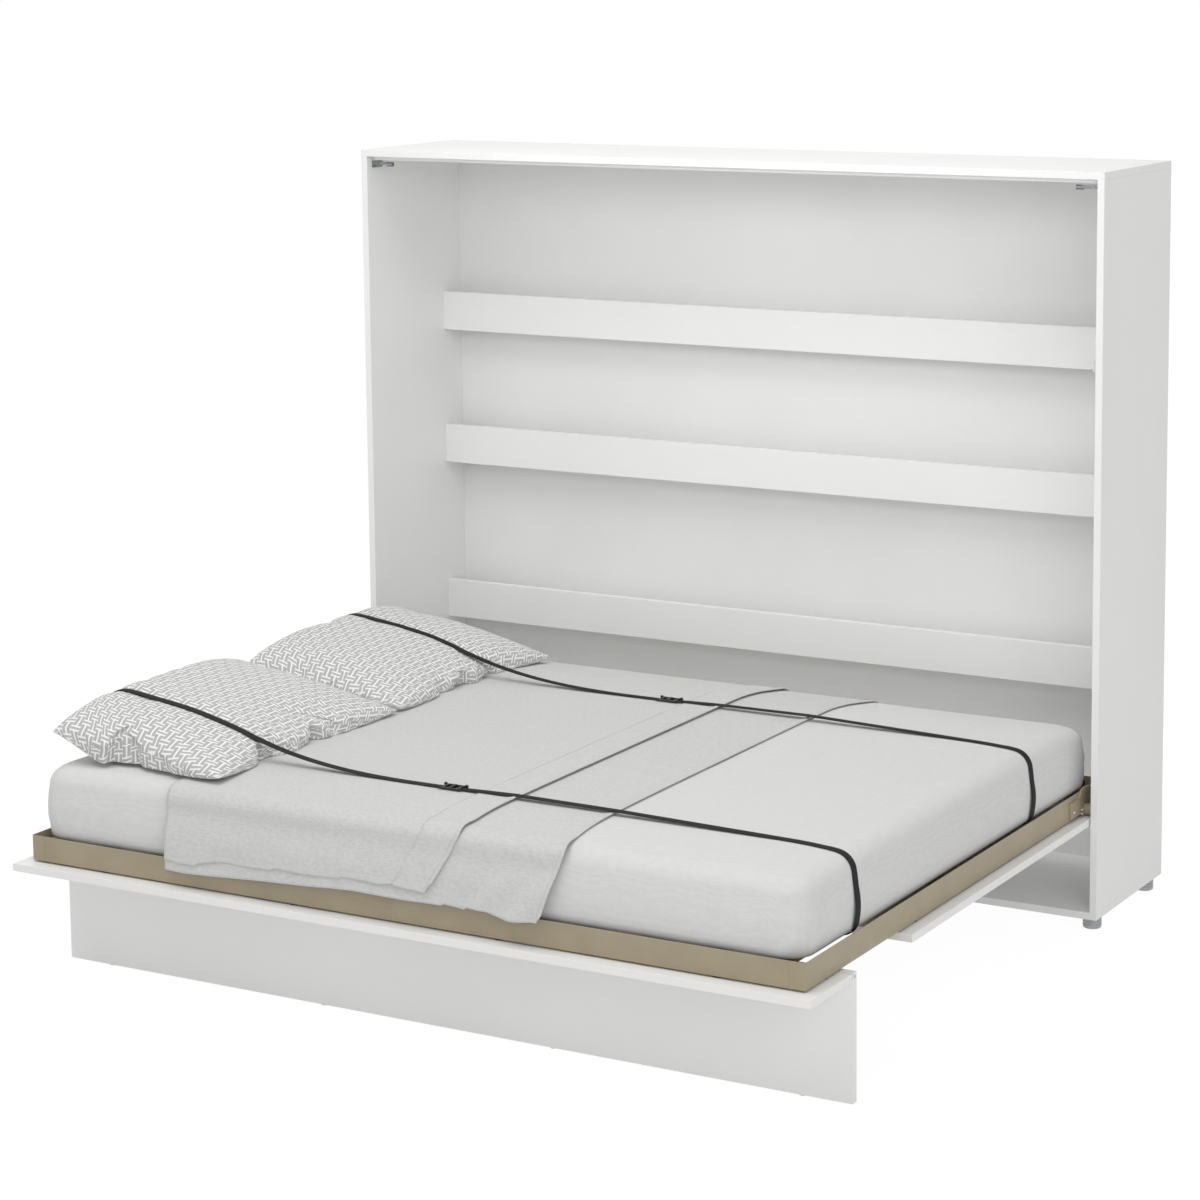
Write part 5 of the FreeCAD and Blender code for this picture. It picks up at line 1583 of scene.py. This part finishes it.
# ------------------------------------------------------------------ straps
@dataclass
class Straps:
    """Two webbing straps over the bedding, each with a sliding buckle."""

    width: float = 22 * MM
    thickness: float = 1.8 * MM
    lift: float = 1.6 * MM
    hang_slope: float = -0.34
    foot_slack: float = 4 * MM
    step: float = 8 * MM
    probe_step: float = 7 * MM
    fall_step: float = 12 * MM
    head_start: float = 14 * MM
    flat_by_buckle: float = 95 * MM
    buckle_beyond: float = 8 * MM
    turn_inset: tuple[float, float] = (75 * MM, 80 * MM)
    bridge_reach: float = 25 * MM
    end_clearance: float = 1.2 * MM
    sink: float = 0.8 * MM
    above: float = 2.0
    across: tuple[float, ...] = (-0.4, 0.0, 0.4)
    bridge: dict = field(default_factory=lambda: {Side.FRONT: 2.5 * MM, Side.REAR: 6 * MM})

    def middle(self, side: Side) -> float:
        """The strap's place along Y, from its node."""
        low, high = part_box("strap_head_" + side.value)
        return (low.y + high.y) / 2

    def support(self, pieces: list[Piece]) -> BVHTree:
        """A ray-casting tree of everything that the straps lie on."""
        points, faces = [], []
        for piece in pieces:
            start = len(points)
            points += [v.co.copy() for v in piece.data.vertices]
            faces += [tuple(start + i for i in p.vertices) for p in piece.data.polygons]
        return BVHTree.FromPolygons(points, faces)

    def surface(self, tree: BVHTree, x: float, y: float) -> float:
        """Highest support under the strap's width at x."""
        starts = [Vector((x, y + share * self.width, self.above)) for share in self.across]
        hits = [tree.ray_cast(start, Vector((0, 0, -1)))[0] for start in starts]
        return max((hit.z for hit in hits if hit is not None), default=0.0)

    def ribbon(self, name: str, path: np.ndarray) -> Piece:
        """Webbing along a path by a Geometry Nodes tree that sweeps its section.

        Args:
            name: the piece's name.
            path: points along the strap's middle.

        Returns:
            The strap's mesh object.
        """
        sizes = {"Width": self.width, "Thickness": self.thickness}
        return run_tree(line_piece(name, path), webbing_tree(), Slot.WEBBING, sizes)

    def buckle_place(self, side: Side) -> float:
        """The buckle's middle along X, just beyond the end of the strap's head part."""
        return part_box("strap_head_" + side.value)[1].x + self.buckle_beyond

    def taut(self, xs: np.ndarray, zs: np.ndarray) -> np.ndarray:
        """Heights of a string pulled over a profile: its upper hull."""
        kept = [0]
        for i in range(1, len(xs)):
            while len(kept) > 1:
                a, b = kept[-2], kept[-1]
                chord = zs[a] + (zs[i] - zs[a]) * (xs[b] - xs[a]) / (xs[i] - xs[a])
                if zs[b] > chord:
                    break
                kept.pop()
            kept.append(i)
        return np.interp(xs, xs[kept], zs[kept])

    def upright(self, points: np.ndarray, y: float) -> np.ndarray:
        """Evenly spaced x, y, z rows of a route given by its x and z."""
        route = smooth_run(points, self.step)
        return np.column_stack([route[:, 0], np.full(len(route), y), route[:, 1]])

    def eased(self, values: np.ndarray, reach: int) -> np.ndarray:
        """Each value as the mean of its neighbours within a reach."""
        width = 2 * reach + 1
        return np.convolve(np.pad(values, reach, mode="edge"), np.ones(width) / width, mode="valid")

    def head_route(self, side: Side, tree: BVHTree) -> np.ndarray:
        """Route from the buckle up the sag, tight over the pillow and down the mattress's head end.

        Args:
            side: which strap.
            tree: what it lies on.

        Returns:
            Points along the strap's middle, from the buckle on.
        """
        y = self.middle(side)
        end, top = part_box("mattress")[0].x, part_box("mattress")[1].z
        stop = self.buckle_place(side) - 1 * MM
        xs = np.arange(end + self.head_start, stop, self.probe_step)
        resting = np.array([self.surface(tree, x, y) for x in xs]) + self.lift
        crest = int(np.argmax(resting))
        tight = self.taut(xs, resting)
        slope = np.gradient(self.eased(resting, 3), xs)
        leave = crest + int(np.argmax(slope[crest:] < self.hang_slope))
        tight[:leave + 1] = self.taut(xs[:leave + 1], resting[:leave + 1])
        run = stop - self.flat_by_buckle - xs[leave]
        t = np.clip((xs - xs[leave]) / run, 0, 1)
        drop = tight[leave] - resting[-1]
        sag = resting[-1] + drop * (1 - t) ** 2 * (1 + 2 * t) + self.hang_slope * run * t * (1 - t) ** 2
        lying = np.where(np.arange(len(xs)) <= leave, tight, np.maximum(sag, resting))
        lying = np.maximum(self.eased(lying, 2), resting - self.sink)
        foot = end - self.end_clearance
        up = [(foot, top - 2 * MM), (foot, top + 0.5 * (lying[0] - top)), (end + 2 * MM, lying[0] - 6 * MM)]
        return self.upright(np.vstack([up, np.column_stack([xs, lying])]), y)[::-1]

    def skin(self, tree: BVHTree, y: float, centre: tuple[float, float], turn: float) -> tuple[float, float]:
        """Place for the strap just off the support, met by rays that come in towards a centre.

        Args:
            tree: what the strap lies on.
            y: the strap's middle.
            centre: x and z of a point inside the support.
            turn: direction from the centre, in degrees above the horizontal.

        Returns:
            The place's x and z.
        """
        out = Vector((math.cos(math.radians(turn)), 0, math.sin(math.radians(turn))))
        start, reach = 0.5, 0.0
        for share in self.across:
            middle = Vector((centre[0], y + share * self.width, centre[1]))
            distance = tree.ray_cast(middle + out * start, -out)[3]
            if distance is not None:
                reach = max(reach, start - distance)
        reach += self.lift + 0.6 * MM
        return centre[0] + out.x * reach, centre[1] + out.z * reach

    def foot_route(self, side: Side, tree: BVHTree) -> np.ndarray:
        """Route from the buckle, pulled tight over the hems and the foot end, down inside the rail's lip.

        Args:
            side: which strap.
            tree: what it lies on.

        Returns:
            Points along the strap's middle.
        """
        y = self.middle(side)
        edge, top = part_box("mattress")[1].x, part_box("mattress")[1].z
        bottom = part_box("strap_foot_" + side.value)[0].z
        turn_x, turn_z = edge - self.turn_inset[0], top - self.turn_inset[1]
        xs = np.arange(self.buckle_place(side) + 1 * MM, turn_x, self.probe_step)
        resting = np.array([self.surface(tree, x, y) for x in xs]) + self.lift
        over_hem = np.exp(-((xs - LOWER_LAYER.right) / self.bridge_reach) ** 2)
        heights = self.taut(xs, resting + self.bridge[side] * over_hem)
        corner = [self.skin(tree, y, (turn_x, turn_z), turn) for turn in range(80, 0, -8)]
        levels = np.arange(turn_z, bottom, -self.fall_step)
        fall = [self.skin(tree, y, (turn_x, z), 0.0) for z in levels]
        slack = self.foot_slack * np.sin(math.pi * (levels - bottom) / (turn_z - bottom))
        fall = np.array(fall) + np.column_stack([slack, np.zeros(len(slack))])
        return self.upright(np.vstack([np.column_stack([xs, heights]), corner, fall]), y)

    def buckle(self, side: Side, height: float) -> Piece:
        """Sliding ladder buckle: two side bars with turned-up ends, joined by three rungs.

        Args:
            side: which strap it is on.
            height: height of the strap there.

        Returns:
            The buckle's object.
        """
        work = bmesh.new()
        half = self.width / 2 + 1.2 * MM
        length, bar, thick = 27 * MM, 4.4 * MM, 5.6 * MM
        for sign in (-1, 1):
            y = sign * (half + bar / 2)
            self.block(work, (0, y, 0), (2 * length, bar, thick))
            for end in (-length - 1 * MM, length + 1 * MM):
                self.block(work, (end, y, 1.6 * MM), (7 * MM, bar * 1.1, thick * 1.25))
        rungs = ((-19 * MM, 1.0 * MM), (0.0, 2.4 * MM), (19 * MM, 1.0 * MM))
        for x, rise in rungs:
            self.block(work, (x, 0, rise), (6.2 * MM, 2 * half + bar, 3.4 * MM))
        for vertex in work.verts:
            vertex.co += Vector((self.buckle_place(side), self.middle(side), height + 2.2 * MM))
        piece = mesh_piece("strap_buckle_" + side.value, [])
        work.to_mesh(piece.data)
        work.free()
        bevel = piece.modifiers.new("round", "BEVEL")
        bevel.width = 1.1 * MM
        bevel.segments = 3
        baked(piece)
        return piece

    def block(self, work: bmesh.types.BMesh, centre: tuple, size: tuple) -> None:
        """Add a box to a mesh under construction."""
        place = Matrix.Translation(centre) @ Matrix.Diagonal((*size, 1.0))
        bmesh.ops.create_cube(work, size=1.0, matrix=place)

    def build(self, supports: list[Piece]) -> list[Piece]:
        """Build straps and buckles.

        Args:
            supports: pieces that the straps lie on.

        Returns:
            The straps' parts that lie over the pillows.
        """
        tree = self.support(supports)
        over_pillows, buckles = [], []
        for side in Side:
            head_path = self.head_route(side, tree)
            head = self.ribbon("strap_over_pillow_" + side.value, head_path)
            foot = self.ribbon("strap_over_foot_" + side.value, self.foot_route(side, tree))
            buckle = self.buckle(side, float(head_path[0][2]))
            finish_piece(head, Slot.WEBBING, Body.BED)
            finish_piece(foot, Slot.WEBBING, Body.BED)
            finish_piece(buckle, Slot.BLACK_PLASTIC, Body.BED)
            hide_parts("strap_head_" + side.value)
            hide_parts("strap_foot_" + side.value)
            buckles.append(buckle)
            over_pillows.append(head)
        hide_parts("strap_buckles")
        return over_pillows


def stored(tree: Tree, shape: Node, name: str, value: Node | Socket, kind: str = "FLOAT") -> Node:
    """Store a value on a shape's points under a name."""
    inputs = {"Geometry": shape, "Name": name, "Value": value}
    return add_node(tree, "GeometryNodeStoreNamedAttribute", inputs, data_type=kind, domain="POINT")


def signed_power(tree: Tree, value: Socket, power: float) -> Socket:
    """A value's size raised to a power, with its sign kept."""
    raised = calc(tree, "POWER", calc(tree, "ABSOLUTE", value), power)
    return calc(tree, "MULTIPLY", raised, calc(tree, "SIGN", value))


def webbing_tree() -> Tree:
    """A tree that sweeps a flat three-ribbed section along a path and stores its own coordinates.

    Returns:
        The tree, with inputs Width, Thickness and Finish.
    """
    name = "webbing_sweep"
    if name in bpy.data.node_groups:
        return bpy.data.node_groups[name]
    tree, given = open_tree(name, {"Width": "Float", "Thickness": "Float"})
    path = add_node(tree, "GeometryNodeMeshToCurve", {0: given.outputs["Geometry"]})
    steady = add_node(tree, "GeometryNodeSetCurveNormal", {0: path}, mode="MINIMUM_TWIST")
    run = add_node(tree, "GeometryNodeSplineParameter").outputs["Length"]
    marked = stored(tree, steady, "run", run)
    ring = add_node(tree, "GeometryNodeCurvePrimitiveCircle", {"Resolution": 28, "Radius": 1.0})
    parts = add_node(tree, "ShaderNodeSeparateXYZ", {0: add_node(tree, "GeometryNodeInputPosition")}).outputs
    # A circle squared off towards a strip: the power of 0.75 rounds its edges, that of 0.3 flattens it.
    wide, flat = signed_power(tree, parts[0], 0.75), signed_power(tree, parts[1], 0.3)
    rib = calc(tree, "COSINE", calc(tree, "MULTIPLY", wide, 3 * math.pi))
    ribbed = calc(tree, "MULTIPLY_ADD", rib, 0.14, 1.0)
    half_width, half_thick = (
        calc(tree, "MULTIPLY", given.outputs[label], 0.5) for label in ("Width", "Thickness")
    )
    x = calc(tree, "MULTIPLY", wide, half_width)
    y = calc(tree, "MULTIPLY", calc(tree, "MULTIPLY", flat, half_thick), ribbed)
    place = add_node(tree, "ShaderNodeCombineXYZ", {0: x, 1: y})
    section = add_node(tree, "GeometryNodeSetPosition", {"Geometry": ring, "Position": place})
    across = stored(tree, section, "across", x)
    swept = add_node(
        tree, "GeometryNodeCurveToMesh", {"Curve": marked, "Profile Curve": across, "Fill Caps": True}
    )
    back = [
        add_node(tree, "GeometryNodeInputNamedAttribute", {"Name": label}, data_type="FLOAT")
        for label in ("run", "across")
    ]
    chart = add_node(tree, "ShaderNodeCombineXYZ", dict(enumerate(back)))
    charted = stored(tree, swept, "webbing", chart, "FLOAT_VECTOR")
    return close_tree(tree, given, add_node(tree, "GeometryNodeSetShadeSmooth", {0: charted}))


# ------------------------------------------------------------------ floor, light and camera
@dataclass
class Studio:
    """Pale floor, white surroundings, soft lamps and the camera."""

    place: tuple[float, float, float] = (3.794, -6.4315, 2.391)
    yaw: float = 28.872
    pitch: float = -8.037
    roll: float = -0.379
    lens: float = 94.56
    sensor: float = 36.0
    shift: tuple[float, float] = (-0.08, -0.175)
    far: float = 100.0
    floor_reach: float = 14.0
    floor_paint: str = "#E8E8E8"
    floor_white: float = 1.09
    white_indirect: float = 0.2
    white_direct: float = 0.66
    sky: float = 0.56

    def camera(self) -> None:
        """Stand the camera where the picture was taken from."""
        yaw, pitch, roll = (math.radians(a) for a in (self.yaw, self.pitch, self.roll))
        ahead = Vector((-math.sin(yaw) * math.cos(pitch), math.cos(yaw) * math.cos(pitch), math.sin(pitch)))
        level = Vector((math.cos(yaw), math.sin(yaw), 0))
        above = level.cross(ahead)
        right = level * math.cos(roll) + above * math.sin(roll)
        up = above * math.cos(roll) - level * math.sin(roll)
        data = bpy.data.cameras.new("camera")
        data.lens = self.lens
        data.sensor_width = self.sensor
        data.sensor_fit = "HORIZONTAL"
        data.shift_x, data.shift_y = self.shift
        data.clip_end = self.far
        camera = bpy.data.objects.new("camera", data)
        turn = Matrix((right, up, -ahead)).transposed().to_4x4()
        camera.matrix_world = Matrix.Translation(self.place) @ turn
        bpy.context.scene.collection.objects.link(camera)
        bpy.context.scene.camera = camera

    def seen_directly(self, tree: Tree) -> Socket:
        """1 for rays from the camera, a mirror or glass, and 0 for the light on the object."""
        rays = add_node(tree, "ShaderNodeLightPath").outputs
        first = calc(tree, "MAXIMUM", rays["Is Camera Ray"], rays["Is Glossy Ray"])
        return calc(tree, "MAXIMUM", first, rays["Is Transmission Ray"])

    def world(self) -> None:
        """White to the eye, and a soft even light on the object."""
        world = bpy.data.worlds.new("surroundings")
        bpy.context.scene.world = world
        tree = cleared_tree(world)
        light, white = (
            add_node(tree, "ShaderNodeBackground", {"Color": WHITE, "Strength": strength})
            for strength in (self.sky, 1.0)
        )
        both = add_node(tree, "ShaderNodeMixShader", {0: self.seen_directly(tree), 1: light, 2: white})
        add_node(tree, "ShaderNodeOutputWorld", {"Surface": both})

    def floor(self) -> None:
        """Pale floor that keeps a soft shadow and is near white to the eye."""
        r = self.floor_reach
        floor = mesh_piece("floor", [(-r, -r, 0), (r, -r, 0), (r, r, 0), (-r, r, 0)], [(0, 1, 2, 3)], False)
        material = bpy.data.materials.new("pale_floor")
        tree = cleared_tree(material)
        paint = add_node(tree, "ShaderNodeBsdfDiffuse", {"Color": linear(self.floor_paint)})
        glow = add_node(tree, "ShaderNodeEmission", {"Color": WHITE, "Strength": self.floor_white})
        share = calc(tree, "MULTIPLY_ADD", self.seen_directly(tree), self.white_direct, self.white_indirect)
        both = add_node(tree, "ShaderNodeMixShader", {0: share, 1: paint, 2: glow})
        add_node(tree, "ShaderNodeOutputMaterial", {"Surface": both})
        floor.data.materials.append(material)

    def lamp(
        self, name: str, place: tuple[float, float, float], target: tuple[float, float, float],
        size: float, power: float, spread: float = 180.0,
    ) -> None:
        """Hang a square soft lamp that faces a target.

        Args:
            name: the lamp's name.
            place: its middle.
            target: point that it faces.
            size: length of its side.
            power: watts.
            spread: angle of its beam in degrees.
        """
        data = bpy.data.lights.new(name, "AREA")
        data.shape = "SQUARE"
        data.size = size
        data.energy = power
        data.spread = math.radians(spread)
        lamp = bpy.data.objects.new(name, data)
        lamp.visible_camera = False
        away = Vector(place) - Vector(target)
        lamp.matrix_world = Matrix.Translation(place) @ away.to_track_quat("Z", "Y").to_matrix().to_4x4()
        bpy.context.scene.collection.objects.link(lamp)

    def build(self) -> None:
        """Set up floor, world, lamps and camera."""
        self.camera()
        self.world()
        self.floor()
        self.lamp("overhead", (-0.4, -1.7, 4.85), (0.0, -0.2, 0.5), 3.2, 92.0)
        self.lamp("right_box", (4.6, -4.2, 2.8), (0.0, 0.4, 0.9), 3.2, 64.0)
        self.lamp("niche_box", (0.2, -2.9, 2.7), (0.1, 0.97, 1.72), 1.0, 1.8, 42.0)
        bpy.context.scene.view_settings.view_transform = "Standard"


# ------------------------------------------------------------------ the whole bed
def corners(box: tuple[Vector, Vector]) -> list[list[float]]:
    """A box's lowest and highest corner as plain lists."""
    return [[float(c) for c in corner] for corner in box]


def main() -> None:
    """Dress the frame, build the soft goods and set up the studio."""
    logging.basicConfig(level=logging.INFO, format="%(name)s %(message)s")
    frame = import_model()
    Studio().build()
    Hardware(frame).build()
    bed = Mattress()
    mattress = bed.build()
    sheets = TopSheet(bed).build()
    straps = Straps()
    pillows = [
        Pillow(side, bed, seed=1.0 + 4 * number).build(straps.middle(side), straps.width)
        for number, side in enumerate(Side)
    ]
    over_pillows = straps.build([mattress, *sheets, *pillows])
    for piece in (*pillows, *over_pillows):
        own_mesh(piece)


if __name__ == "__main__":
    main()
